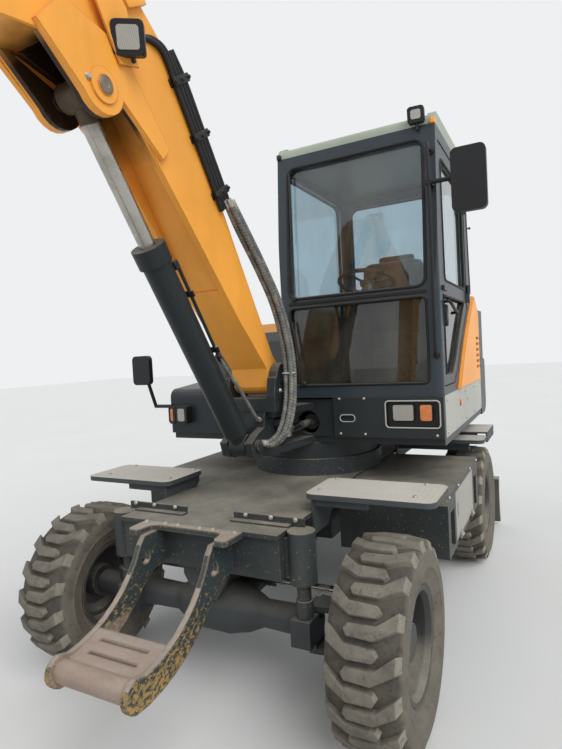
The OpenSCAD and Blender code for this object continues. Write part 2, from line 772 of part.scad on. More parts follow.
// Line of the orange side panel's front edge as it sweeps down over the cab's corner
sweep = [[-760, 1930], [-550, 1785], [-320, 1595], [-150, 1430], [-60, cab_low + seat]];
sweep_skin = 25;
module side_covers() at_machine() color(machine_yellow) {
    // Right side and the strip behind the cab, in the side view
    difference() {
        union() {
            side_plate(-half_house + 2, cab_y0 - 20)
                polygon(concat([[-1095, house_top + seat], [cover_front, house_top + seat]],
                    arc([cover_front - 60, 1340], 60, 0, 80, 4), [[0, 1430], [-250, 1700]],
                    arc([-520, 1650], 200, 80, 95, 2), [[-1095, hood_top - 10]]));
            side_plate(cab_y0 - 20, 500)
                polygon([[-1095, house_top + seat], [cab_rear - clear, house_top + seat],
                    [cab_rear - clear, 1900],
                    [-1095, hood_top - 10]]);
            side_plate(500, cab_y1 - 2)
                polygon(concat([[-1095, cab_low], [cab_rear - clear, cab_low]],
                    arc([-860, 1840], 110, 0, 90, 5),
                    [[-1095, hood_top - 10]]));
            side_plate(cab_y1 - sweep_skin + seat, cab_y1 + 6)
                polygon(concat(sweep, [[-1050, cab_low + seat], [-1050, hood_top - 30], [-880, 1945]]));
            // Raised rim along the sweep
            side_plate(cab_y1 - 5, cab_y1 + 20)
                polygon(concat([for (p = sweep) p + [-8, 2]], [[-150, cab_low + 12]],
                    [for (i = [3 : -1 : 0]) sweep[i] - [75, 60]]));
        }
        // Louvres at the left, and the rows of air slots at the right
        for (z = [1420 : 42 : 1640])
            block([-1060, cab_y1 - 30, z], [-880, cab_y1 + 30, z + 20]);
        for (z = [1200 : 50 : 1500])
            block([-1000, -half_house - 10, z], [-620, -half_house + 20, z + 24]);
        // Notch for the frame's front bulkhead and lugs
        block([cab_front - 65, -296, house_top - 1], [cover_front + 10, cab_y0 - 15, 1326]);
        // Hollow inside
        side_plate(-half_house + 40, cab_y0 - 60)
            polygon([[-1060, house_top - 1], [cover_front - 40, house_top - 1],
                [cover_front - 40, 1320], [0, 1380], [-250, 1650],
                [-1060, hood_top - 60]]);
        side_plate(cab_y0 - 61, 460)
            polygon([[-1060, house_top - 1], [cab_rear - 46, house_top - 1], [cab_rear - 46, 1840],
                [-1060, hood_top - 60]]);
    }
}

skirt_t = 30;
module lower_panels() at_machine() color(light_grey) {
    // Grey skirts under the cab and under the left cover
    difference() {
        block([-1095, cab_y1 - skirt_t, house_top + seat], [cab_front - 40, cab_y1, cab_low - seat]);
        translate([-400, cab_y1 + 5, 1240])
            rotate([90, 0, 0])
                cylinder(r = 12, h = 60);
    }
    block([-1095, 500 + seat, house_top + seat], [-1065, cab_y1 - skirt_t + 1, cab_low - seat]);
    // Front panel with the headlamp's recess
    difference() {
        block([cab_front - 39, 290, house_top + seat], [cab_front + 4, cab_y1, cab_low - seat]);
        front_plate(cab_front - 20, cab_front + 10)
            round_rect([602, 1160], [900, 1308], 20);
        front_plate(cab_front - 10, cab_front + 10)
            round_rect([330, 1190], [420, 1230], 19);
    }
}

// Side view of the cab, drawn in by d on every side
module cab_side(d) {
    polygon([[cab_rear + d, cab_low + d], [cab_front - d, cab_low + d], [cab_front - d, 1900],
        [cab_front - 80 - d, roof_low - d], [cab_rear + d, roof_low - d]]);
}

door_rear = cab_rear + 180;
// The door's lower rear corner follows the sweep at this distance
sweep_gap = [34, 26];
module door_outline(d) {
    polygon([sweep[1] + sweep_gap + [d / 2, d], sweep[2] + sweep_gap + [d / 2, d],
        sweep[3] + sweep_gap + [d / 2, d],
        [20 + d, cab_low + 45 + d], [cab_front - 60 - d, cab_low + 45 + d], [cab_front - 60 - d, 1900],
        [cab_front - 132 - d, roof_low - 70 - d], [door_rear + d, roof_low - 70 - d],
            [door_rear + d, 1840]]);
}

module cab_body() at_machine() color(machine_grey) {
    cab_shell();
    // The hinges' upper knuckles, whose pins stand in the door's knuckles
    for (z = hinge_zs) {
        hinge_knuckle(z, 60 + seat, -40);
        translate([door_rear, hinge_y, z + 2])
            cylinder(r = 5, h = 70);
    }
}

module cab_shell() difference() {
    intersection() {
        side_plate(cab_y0, cab_y1)
            cab_side(0);
        flat_plate(cab_low - 5, cab_top)
            round_rect([cab_rear, cab_y0], [cab_front, cab_y1], 40);
    }
    // Room for the side panel that sweeps over the rear corner
    side_plate(cab_y1 - sweep_skin, cab_y1 + 10)
        polygon(concat([for (p = sweep) p + [1, 0]],
            [[-60 + 1, cab_low - 10], [cab_rear - 20, cab_low - 10], [cab_rear - 20, 1931]]));
    side_plate(cab_y0 + cab_t, cab_y1 - cab_t)
        cab_side(cab_t);
    // Windscreen and the lower front window
    front_plate(cab_front - 200, cab_front + 20)
        round_rect([cab_y0 + 65, 1920], [cab_y1 - 65, roof_low - 70], 50);
    front_plate(cab_front - 80, cab_front + 20)
        round_rect([cab_y0 + 65, cab_low + 70], [cab_y1 - 65, 1870], 30);
    // Doorway, the right window and the rear window
    side_plate(cab_y1 - cab_t - 5, cab_y1 + 5)
        door_outline(0);
    side_plate(cab_y0 - 5, cab_y0 + cab_t + 5)
        round_rect([cab_rear + 90, 1650], [cab_front - 150, roof_low - 90], 60);
    front_plate(cab_rear - 5, cab_rear + cab_t + 5)
        round_rect([cab_y0 + 90, 1960], [cab_y1 - 90, roof_low - 100], 60);
}

module cab_roof() at_machine() color([0.75, 0.78, 0.7]) {
    side_plate(cab_y0 + 10, cab_y1 - 10)
        polygon(concat([[cab_rear + 5, roof_low + seat]], [[cab_front - 84, roof_low + seat]],
            arc([cab_front - 125, cab_top - 40], 40, 0, 90, 5),
                [[cab_rear + 60, cab_top], [cab_rear + 5, cab_top - 30]]));
    // Rounded rails along both edges
    for (y = [cab_y0 + 2, cab_y1 - 42])
        side_plate(y, y + 40)
            polygon(concat([[cab_rear + 20, roof_low + seat]], [[cab_front - 86, roof_low + seat]],
                arc([cab_front - 155, cab_top - 48], 68, 0, 90, 5),
                    arc([cab_rear + 60, cab_top - 20], 40, 90, 180, 4)));
}

glass_t = 6;
module cab_glass() at_machine() color([0.3, 0.36, 0.42, 0.5]) {
    // The windscreen leans with the cab's front
    lean = atan2(80, roof_low - 1900);
    intersection() {
        translate([cab_front - 22, 0, 1900])
            rotate([0, -lean, 0])
                translate([-glass_t, 0, -20])
                    cube([glass_t, 2000, 1000]);
        front_plate(cab_front - 200, cab_front + 20)
            round_rect([cab_y0 + 65 + seat, 1920 + seat], [cab_y1 - 65 - seat, roof_low - 70 - seat],
                50);
    }
    front_plate(cab_front - 22 - glass_t, cab_front - 22)
        round_rect([cab_y0 + 65 + seat, cab_low + 70 + seat], [cab_y1 - 65 - seat, 1870 - seat], 30);
    side_plate(cab_y0 + 20, cab_y0 + 20 + glass_t)
        round_rect([cab_rear + 90 + seat, 1650 + seat], [cab_front - 150 - seat, roof_low - 90 - seat],
            60);
    front_plate(cab_rear + 20, cab_rear + 20 + glass_t)
        round_rect([cab_y0 + 90 + seat, 1960 + seat], [cab_y1 - 90 - seat, roof_low - 100 - seat], 60);
}

module door_window(d) {
    translate([0, 0])
        round_rect([door_rear + 70 + d, 1960 + d], [cab_front - 190 - d, roof_low - 150 - d], 40);
    polygon([[-430 + 1.5 * d, 1880 - d], sweep[2] + [110 + 1.5 * d, 90],
        sweep[3] + [110 + 1.5 * d, 90], [80 + d, 1440 + d],
        [cab_front - 130 - d, 1440 + d], [cab_front - 130 - d, 1880 - d]]);
}

// Two hinges on the door's rear edge: a knuckle with its leaf, at each height in the list
hinge_y = cab_y1 + 10;
hinge_zs = [1880, 2480];
module hinge_knuckle(z, lift, leaf) {
    translate([door_rear, hinge_y, z + lift])
        cylinder(r = 9, h = 60);
    block([door_rear + min(leaf, 0), cab_y1 - 4, z + lift],
        [door_rear + max(leaf, 0), cab_y1 + 6, z + lift + 60]);
}

module cab_door() at_machine() color(machine_grey) {
    difference() {
        for (z = hinge_zs)
            hinge_knuckle(z, 0, 40);
        for (z = hinge_zs)
            translate([door_rear, hinge_y, z - 5])
                cylinder(r = 5 + pin_gap, h = 70);
    }
    difference() {
        side_plate(cab_y1 - 42, cab_y1 - 4)
            door_outline(clear);
        side_plate(cab_y1 - 60, cab_y1 + 10)
            door_window(0);
    }
    // Outer handle
    block([cab_front - 190, cab_y1 - 4, 1900], [cab_front - 90, cab_y1 + 14, 1925]);
}

module door_glass()
    at_machine() color([0.3, 0.36, 0.42, 0.5]) side_plate(cab_y1 - 26,
        cab_y1 - 26 + glass_t) door_window(seat);

seat_x = -330;
seat_y = 445;
wheel_hub = [cab_front - 255, 2010];
module operator_seat() at_machine() color([0.15, 0.15, 0.17]) {
    block([seat_x - 180, seat_y - 200, cab_low + cab_t + seat], [seat_x + 180, seat_y + 200, 1580]);
    block([seat_x - 230, seat_y - 240, 1580], [seat_x + 240, seat_y + 240, 1700]);
    side_plate(seat_y - 230, seat_y + 230)
        polygon([[seat_x - 230, 1700], [seat_x - 100, 1700], [seat_x - 190, 2250],
            [seat_x - 290, 2250]]);
    // Consoles with their levers, and the steering column
    for (y = [seat_y - 330, seat_y + 250]) {
        block([seat_x - 60, y, cab_low + cab_t + seat], [seat_x + 300, y + 80, 1800]);
        translate([seat_x + 240, y + 40, 1800])
            cylinder(r = 22, h = 160);
    }
    block([cab_front - 170, seat_y - 60, cab_low + cab_t + seat], [cab_front - 90, seat_y + 60, 1800]);
    side_bar([cab_front - 130, 1790], wheel_hub, 25, seat_y);
    translate([wheel_hub[0], seat_y, wheel_hub[1]])
        rotate([0, -18, 0]) {
            rotate_extrude()
                translate([165, 0])
                    circle(r = 14, $fn = 16);
            translate([-12, -165, -8])
                cube([24, 330, 16]);
        }
}

module mirrors() at_machine() color([0.1, 0.1, 0.12]) {
    // Left mirror on its bent tube at the cab's front corner
    front_plate(cab_front + 5, cab_front + 45)
        round_rect([cab_y1 + 90, 2270], [cab_y1 + 260, 2590], 30);
    translate([cab_front + 18, cab_y1 + 150, 2450])
        rotate([90, 0, 0])
            cylinder(r = 12, h = 160);
    block([cab_front - 48, cab_y1 - 40, 2440], [cab_front + 30, cab_y1 - 8, 2462]);
    // Right mirror on a curved tube from the lamp box
    front_plate(cover_front + 60, cover_front + 95)
        round_rect([-1160, 1440], [-1010, 1640], 30);
    side_bar([cover_front + 15, 1285], [cover_front + 75, 1445], 12, -1040);
    cross_bar([cover_front + 15, 1285], 12, -1045, -900 - seat);
}

module lamps() at_machine() color([0.85, 0.8, 0.7]) {
    front_plate(cab_front - 20 + seat, cab_front)
        round_rect([640, 1195], [760, 1290], 12);
    front_plate(cab_front - 20 + seat, cab_front + 2)
        round_rect([790, 1195], [860, 1290], 12);
    // Worklight on the roof's front corner
    front_plate(cab_front - 84 + seat, cab_front - 40)
        round_rect([785, 2795], [875, 2880], 12);
    // Lamp box at the right front
    block([cover_front + seat, -900, 1160], [cover_front + 60, -740, 1300]);
}

ear_y = boom_w / 2 + 6;
module swing_post() at_machine() color(machine_grey) {
    translate([post_x, 0, house_low - 5])
        cylinder(r = 40, h = 260);
    translate([post_x, 0, house_top + seat])
        cylinder(r = 62, h = 1260 - house_top - 2 * seat);
    difference() {
        union() {
            // Web that carries the boom's ears past the upper lug
            side_plate(-95, 95)
                polygon([[post_x + 40, house_top + 5], [post_x + 112, house_top + 5],
                    [ram_foot[0] - 20, 1070],
                    [ram_foot[0] + 40, 1090], [ram_foot[0] + 62, 1160], [ram_foot[0] - 10, 1200],
                    [ram_foot[0] - 75, 1222], [862, 1310], [post_x + 112, 1310],
                    [post_x + 112, 1255], [post_x + 40, 1255]]);
            side_plate(-ear_y - 48, ear_y + 48)
                polygon(concat([[post_x - 40, 1305], [870, 1305], [870, 1380], [850, 1480]],
                    arc(boom_foot, 85, 10, 170, 8)));
        }
        // Slot for the boom's foot and slot for the ram's foot
        block([600, -ear_y, 1375], [1100, ear_y, 1700]);
        block([ram_foot[0] - 75, -52, 1000], [1200, 52, 1260]);
    }
    cross_bar(boom_foot, pin_d / 2, -ear_y - 60, ear_y + 60);
    cross_bar(ram_foot, pin_d / 2, -110, 110);
    // Ear for the swing ram
    flat_plate(swing_z + 35, swing_z + 60)
        polygon(concat([[post_x - 45, 30], [post_x + 60, 30]], arc(swing_eye, 38, 0, 180, 8)));
    translate([swing_eye[0], swing_eye[1], swing_z + 28 + seat])
        cylinder(r = 20, h = 20);
}

// The swing ram is drawn like the others and laid down flat
module lay_flat() {
    translate([0, 0, swing_z])
        rotate([-90, 0, 0])
            children();
}
module swing_ram_barrel()
    at_machine() color(machine_grey) lay_flat() ram_barrel(swing_foot, swing_eye, swing_ram);
module swing_ram_rod()
    at_machine() color(chrome) lay_flat() ram_rod(swing_foot, swing_eye, swing_ram, 28);

// Boom, arm and bucket

boom_low = [[840, 1530], [1084, 1775], [1441, 2180], [1712, 2480], [1885, 2605], [2050, 2640],
    [2253, 2601],
    [2800, 2450], [3400, 2300]];
boom_high = [[3430, 2470], [2900, 2700], [2300, 2950], [2050, 3025], [1850, 3030], [1700, 2975],
    [1564, 2868],
    [1464, 2725], [1224, 2369], [1082, 2125], [770, 1600]];
module boom() at_machine() color(machine_yellow) {
    difference() {
        union() {
            side_plate(-boom_w / 2, boom_w / 2)
                polygon(concat(arc(boom_foot, 80, 150, 330, 10), boom_low,
                    arc(boom_tip, 85, 240, 420, 10), boom_high));
            // Cheeks that hold the ram's pin
            both_sides() side_plate(boom_w / 2 - 1, boom_w / 2 + 20)
                polygon(concat(arc(boom_eye, 95, 190, 330, 8),
                    [[2150, 2640], [2050, 2760], [1800, 2720], [1560, 2430],
                    [1600, 2380]]));
            both_sides() side_plate(80, boom_w / 2)
                polygon(concat(arc(boom_eye, 95, 190, 330, 8), [[2150, 2650], [1700, 2500]]));
            // Raised boss round the pin
            both_sides() side_plate(boom_w / 2 + 19, boom_w / 2 + 27)
                translate(boom_eye)
                    circle(r = 60);
            // Ears for the arm's ram
            for (y = [-70, 45])
                side_plate(y, y + 25)
                    polygon(concat([[1980, 2990]], arc(arm_ram_foot, 55, 150, 20, 6), [[2170, 2960]]));
        }
        cross_bar(boom_foot, pin_d / 2 + pin_gap, -200, 200);
        // Room for the ram's eye between the cheeks
        side_plate(-75, 75)
            polygon(arc(boom_eye, 195, -60, 240, 16));
        side_plate(-80, 80)
            polygon([[1230, 1900], [1195, 1915], [1400, 2180], [1632, 2558], [1740, 2690],
                [1900, 2600], [1760, 2440]]);
        // Fork for the arm
        block([3230, -arm_w / 2 - 5, 2100], [3700, arm_w / 2 + 5, 2700]);
    }
    cross_bar(boom_tip, pin_d / 2, -boom_w / 2 - 12, boom_w / 2 + 12);
    cross_bar(arm_ram_foot, 25, -80, 80);
    both_sides() cross_bar(boom_eye, 34, 76, boom_w / 2 + 32);
}

module boom_lines() at_machine() color([0.1, 0.1, 0.1]) {
    // Two steel pipes along the boom's left face, with their clamps
    for (d = [0, 28])
        side_bar([1130 + d, 2235], [1475 + d, 2765], 10, boom_w / 2 + seat + 10);
    for (p = [[1180, 2290], [1440, 2690]])
        side_plate(boom_w / 2 + seat, boom_w / 2 + 26)
            translate(p)
                rotate(57)
                    square([34, 80], center = true);
    // Lamp on its folded bracket, which hangs from the boom's upper edge
    side_plate(boom_w / 2 + 20 + seat, boom_w / 2 + 26)
        polygon([[1640, 2900], [1760, 2965], [1862, 2770], [1800, 2660], [1740, 2700]]);
    side_plate(boom_w / 2 + seat, boom_w / 2 + 26)
        polygon([[1650, 2880], [1640, 2900], [1760, 2965], [1770, 2945]]);
    side_plate(boom_w / 2 + 25, boom_w / 2 + 95)
        round_rect([1742, 2672], [1858, 2788], 22);
}

module boom_ram_barrel() at_machine() color(machine_grey) ram_barrel(ram_foot, boom_eye, boom_ram);
module boom_ram_rod() at_machine() color(chrome) ram_rod(ram_foot, boom_eye, boom_ram, 50);

module arm() at_machine() color(machine_yellow) {
    difference() {
        union() {
            side_plate(-arm_w / 2, arm_w / 2)
                polygon(concat([for (p = [[1600, 52], [1300, 85], [500, 165], [150, 175],
                    [60, 150]]) on_arm(p[0], p[1])],
                    [for (p = arc([-353, 188], 62, 60, 200, 6)) on_arm(p[0], p[1])],
                    [for (p = arc([0, 0], 95, 165, 260, 6)) on_arm(p[0], p[1])],
                    [for (p = [[300, -115], [700, -100]]) on_arm(p[0], p[1])],
                    [for (p = arc([1600, 0], 52, -90, 90, 8)) on_arm(p[0], p[1])]));
            for (y = [-72, 47])
                side_plate(y, y + 25)
                    polygon([for (p = [[50, 140], [110, 280], [190, 280], [300, 150]]) on_arm(p[0],
                        p[1])]);
        }
        cross_bar(arm_pin, pin_d / 2 + pin_gap, -200, 200);
        cross_bar(bucket_pin, 28, -200, 200);
        cross_bar(rocker_pin, 25, -200, 200);
        cross_bar(horn_pin, 25, -200, 200);
        cross_bar(bucket_ram_foot, 25 + pin_gap, -200, 200);
        // Slot for the eye of the arm's ram
        side_plate(-35, 35)
            polygon([for (p = [[-500, 60], [-190, 60], [-190, 330], [-500, 330]]) on_arm(p[0], p[1])]);
    }
    cross_bar(bucket_ram_foot, 25, -80, 80);
    for (y = [-arm_w / 2, arm_w / 2 - 38])
        cross_bar(horn_pin, 25, y, y + 38);
}

module arm_ram_barrel() at_machine() color(machine_grey) ram_barrel(arm_ram_foot, horn_pin, arm_ram);
module arm_ram_rod() at_machine() color(chrome) ram_rod(arm_ram_foot, horn_pin, arm_ram, 30);

module bucket_ram_barrel()
    at_machine() color(machine_grey) ram_barrel(bucket_ram_foot, rocker_eye, bucket_ram);
module bucket_ram_rod() at_machine() color(chrome) ram_rod(bucket_ram_foot, rocker_eye, bucket_ram, 28);

module bar_plate(a, b, r, y0, y1) {
    side_plate(y0, y1) {
        translate(a)
            circle(r = r);
        translate(b)
            circle(r = r);
        translate(a)
            rotate(dir(a, b))
                translate([0, 1 - r])
                    square([dist(a, b), 2 * r - 2]);
    }
}

module rocker() at_machine() color(machine_grey) {
    both_sides() bar_plate(rocker_pin, rocker_eye, 40, arm_w / 2 + 6, arm_w / 2 + 24);
    cross_bar(rocker_pin, 25 - pin_gap, -arm_w / 2 - 28, arm_w / 2 + 28);
    difference() {
        cross_bar(rocker_eye, 22, -arm_w / 2 - 28, arm_w / 2 + 28);
        block([3000, -31, 800], [3700, 31, 1300]);
    }
}

module bucket_link() at_machine() color(machine_grey) {
    both_sides() difference() {
        bar_plate(rocker_eye, link_eye, 36, 36, 66);
        cross_bar(rocker_eye, 22 + pin_gap, 0, 100);
        cross_bar(link_eye, 24, 0, 100);
    }
}

ear_in = arm_w / 2 + 30;
shell_t = 14;
function in_bucket(r, a) = bucket_pin + r * [cos(tooth_angle + a), sin(tooth_angle + a)];
bucket_outer = [for (p = [[bucket_r - 60, 0], [805, 14], [775, 28], [725, 40], [640, 51], [520, 60],
    [400, 62],
    [290, 50], [215, 30], [190, 12]]) in_bucket(p[0], p[1])];
bucket_inner = [for (p = [[207, 12], [231, 29], [304, 48.5], [396, 58], [506, 56.5], [622, 48],
    [705, 37.5],
    [755, 26.5], [787, 13], [bucket_r - 75, 0.5]]) in_bucket(p[0], p[1])];
module bucket() at_machine() color([0.8, 0.74, 0.6]) {
    // Wrapped floor, back and top plate
    side_plate(-bucket_w / 2, bucket_w / 2)
        polygon(concat(bucket_outer, bucket_inner));
    both_sides() side_plate(bucket_w / 2 - shell_t, bucket_w / 2)
        polygon(bucket_outer);
    // Ears on the arm's and the link's pins
    both_sides() side_plate(ear_in, ear_in + 22)
        polygon(concat([for (p = [[198, 12], [223, 30], [299, 50], [392, 61]]) in_bucket(p[0], p[1])],
            arc(link_eye, 48, -10, 100, 6), arc(bucket_pin, 60, 80, 190, 8)));
    cross_bar(bucket_pin, 28 - pin_gap, -ear_in - 40, ear_in + 40);
    both_sides() cross_bar(link_eye, 26, ear_in - 12, ear_in + 40);
    for (i = [0 : teeth - 1]) {
        y = -bucket_w / 2 + 40 + i * (bucket_w - 80) / (teeth - 1);
        side_plate(y - 28, y + 28)
            polygon([in_bucket(bucket_r - 130, 2.4), in_bucket(bucket_r - 130, -1.2),
                in_bucket(bucket_r, 0)]);
    }
}

chassis_frame();
front_step();
fenders();
toolbox();
toolbox_door();
lock_cylinders();
front_axle();
rear_axle();
drive_line();
steering_rod();
knuckle_left();
knuckle_right();
tyre_front_left();
tyre_front_right();
tyre_rear_left();
tyre_rear_right();
rim_front_left();
rim_front_right();
rim_rear_left();
rim_rear_right();
blade();
blade_ram_barrel();
blade_ram_rod();
house_frame();
counterweight();
engine_hood();
engine();
side_covers();
lower_panels();
cab_body();
cab_roof();
cab_glass();
cab_door();
door_glass();
operator_seat();
mirrors();
lamps();
swing_post();
swing_ram_barrel();
swing_ram_rod();
boom();
boom_lines();
boom_ram_barrel();
boom_ram_rod();
arm();
arm_ram_barrel();
arm_ram_rod();
bucket_ram_barrel();
bucket_ram_rod();
rocker();
bucket_link();
bucket();
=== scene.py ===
"""Looks, hoses and small fittings of a wheeled excavator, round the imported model.

Places are written in millimetres in the machine's own frame, with the swing centre at the
origin, X forwards and Y to the left, and place() turns them into the row frame's metres.
"""
import json
import math

import bmesh
import bpy
from mathutils import Matrix, Vector


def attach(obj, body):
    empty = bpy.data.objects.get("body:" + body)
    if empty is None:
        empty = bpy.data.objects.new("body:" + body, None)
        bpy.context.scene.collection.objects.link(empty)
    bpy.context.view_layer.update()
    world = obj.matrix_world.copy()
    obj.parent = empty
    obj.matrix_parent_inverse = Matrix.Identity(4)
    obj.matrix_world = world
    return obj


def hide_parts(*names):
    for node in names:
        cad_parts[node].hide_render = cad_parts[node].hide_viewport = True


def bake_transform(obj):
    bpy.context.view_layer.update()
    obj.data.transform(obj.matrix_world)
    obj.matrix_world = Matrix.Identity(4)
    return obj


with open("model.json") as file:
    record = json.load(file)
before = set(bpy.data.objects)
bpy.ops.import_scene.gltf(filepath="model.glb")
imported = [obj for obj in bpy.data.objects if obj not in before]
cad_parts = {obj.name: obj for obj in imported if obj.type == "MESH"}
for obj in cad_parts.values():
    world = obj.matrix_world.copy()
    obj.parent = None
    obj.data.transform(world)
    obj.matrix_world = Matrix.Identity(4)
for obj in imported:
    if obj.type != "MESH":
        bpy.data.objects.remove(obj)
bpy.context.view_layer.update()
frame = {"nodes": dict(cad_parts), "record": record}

scene = bpy.context.scene
MM = 0.001
MACHINE_X = -1.052


def place(x, y, z):
    """A point of the machine's frame, in millimetres, as a row frame vector in metres."""
    return Vector((x * MM + MACHINE_X, y * MM, z * MM))


def route(*points):
    """Points of the machine's frame as a list of vectors in metres."""
    return [place(*p) for p in points]


# ---- camera, light and floor

FOCAL_PX = 530.56
IMAGE_H_PX = 749
# Metres in the row frame, and radians
CAMERA_AT = (2.2129, 1.4735, 1.5978)
CAMERA_YAW = 0.4858
CAMERA_PITCH = 0.0374
CAMERA_ROLL = 0.0547
# Each sun's name, the way towards it, its strength, and its width in degrees
SUNS = (("key", (0.6, 0.95, 1.1), 2.0, 45), ("fill", (0.9, -0.7, 0.5), 0.45, 70))
# Colour and strength
SKY_THAT_LIGHTS = ((0.93, 0.97, 1.0, 1), 0.62)
SKY_THAT_SHOWS = ((0.86, 0.87, 0.88, 1), 1.0)


def add_object(name, data):
    """A new object with that data, put into the scene."""
    obj = bpy.data.objects.new(name, data)
    scene.collection.objects.link(obj)
    return obj


def make_camera():
    """A camera where the photographer stood, found from the machine's own straight edges."""
    (cy, sy), (cp, sp), (cr, sr) = ((math.cos(a), math.sin(a))
                                    for a in (CAMERA_YAW, CAMERA_PITCH, CAMERA_ROLL))
    forward = Vector((-cy * cp, -sy * cp, -sp))
    right = Vector((-sy, cy, 0))
    down = forward.cross(right)
    image_x = cr * right + sr * down
    image_y = -sr * right + cr * down
    turn = Matrix((image_x, -image_y, -forward)).transposed()
    data = bpy.data.cameras.new("camera")
    data.sensor_fit = "VERTICAL"
    data.sensor_height = 36
    data.lens = FOCAL_PX * data.sensor_height / IMAGE_H_PX
    data.clip_end = 200
    scene.camera = add_object("camera", data)
    scene.camera.matrix_world = Matrix.Translation(CAMERA_AT) @ turn.to_4x4()


def make_lights():
    """One broad key from the front left, a weak fill, and an even pale surrounding."""
    for name, way, strength, angle in SUNS:
        data = bpy.data.lights.new(name, "SUN")
        data.energy = strength
        data.angle = math.radians(angle)
        lamp = add_object(name, data)
        lamp.rotation_euler = Vector(way).to_track_quat("Z", "Y").to_euler()
    world = bpy.data.worlds.new("studio")
    scene.world = world
    world.use_nodes = True
    w = Nodes(world.node_tree)
    glows = [w.node("Background", Color=colour, Strength=strength)
             for colour, strength in (SKY_THAT_LIGHTS, SKY_THAT_SHOWS)]
    path = w.node("LightPath")
    share = path.outputs["Is Camera Ray"]
    for ray in ("Is Glossy Ray", "Is Transmission Ray"):
        share = w.math("MAXIMUM", share, path.outputs[ray])
    w.node("OutputWorld", Surface=w.mix_shaders(share, *glows).outputs[0])


# ---- materials


def rgb(*colour):
    """An sRGB colour of 0 to 255 as a linear one with alpha."""
    shares = (c / 255 for c in colour)
    return (*(c / 12.92 if c <= 0.04045 else ((c + 0.055) / 1.055) ** 2.4 for c in shares), 1.0)


def scaled(colour, k):
    """A colour made brighter or darker."""
    return (colour[0] * k, colour[1] * k, colour[2] * k, 1.0)


DUST = rgb(176, 169, 152)
RUST = rgb(112, 68, 40)
PRIMER = rgb(88, 82, 76)
STEEL = rgb(150, 144, 134)
# Dark brown of grease, darkened further as painted shade for the boom's hollow
SPECK = rgb(176, 150, 104)
GREASE_AND_SHADE = rgb(44, 28, 14)
DARK_PAINT = rgb(31, 39, 44)
# Millimetres from turn to turn of the hoses' guard, and radians of weave to a metre
GUARD_PITCH = 16
WEAVE = 2200
# Cosines between a face and its rounded normal: away from an edge, and on it
FLAT_COSINE = 0.995
EDGE_COSINE = 0.8
# Heights and distances in metres in the row frame
SPLASH_TOP, SPLASH_FULL = 1.5, 0.2
LOW_PANES_TOP = 1.9
SKIRT_FRONT = place(347, 0, 0).x
BOOM_LUG_GAP = 0.1
STEP_TUBE_TOP = 0.56
STEP_TUBE_HALF = 0.17
RAM_EYE = place(1895, 0, 2543)


class Nodes:
    """A node tree, with one short call for each kind of node that is used here."""

    def __init__(self, tree):
        self.tree = tree
        tree.nodes.clear()

    def node(self, kind, **given):
        return self.set(self.tree.nodes.new("ShaderNode" + kind), **given)

    def set(self, n, **given):
        """Give a node some of its inputs by their names, where _ stands for a space."""
        for name, value in given.items():
            self.give(n.inputs[name.replace("_", " ")], value)
        return n

    def give(self, socket, value):
        if isinstance(value, bpy.types.NodeSocket):
            self.tree.links.new(value, socket)
        else:
            socket.default_value = value

    def pair(self, kind, operation, a, b):
        n = self.node(kind)
        n.operation = operation
        self.give(n.inputs[0], a)
        self.give(n.inputs[1], b)
        return n

    def math(self, operation, a, b=0.0, clamp=False):
        n = self.pair("Math", operation, a, b)
        n.use_clamp = clamp
        return n.outputs[0]

    def times(self, a, b, clamp=False):
        return self.math("MULTIPLY", a, b, clamp)

    def plus(self, a, b, clamp=False):
        return self.math("ADD", a, b, clamp)

    def minus(self, a, b, clamp=False):
        return self.math("SUBTRACT", a, b, clamp)

    def size(self, a):
        return self.math("ABSOLUTE", a)

    def mix_shaders(self, share, a, b):
        n = self.node("MixShader", Fac=share)
        self.give(n.inputs[1], a.outputs[0])
        self.give(n.inputs[2], b.outputs[0])
        return n


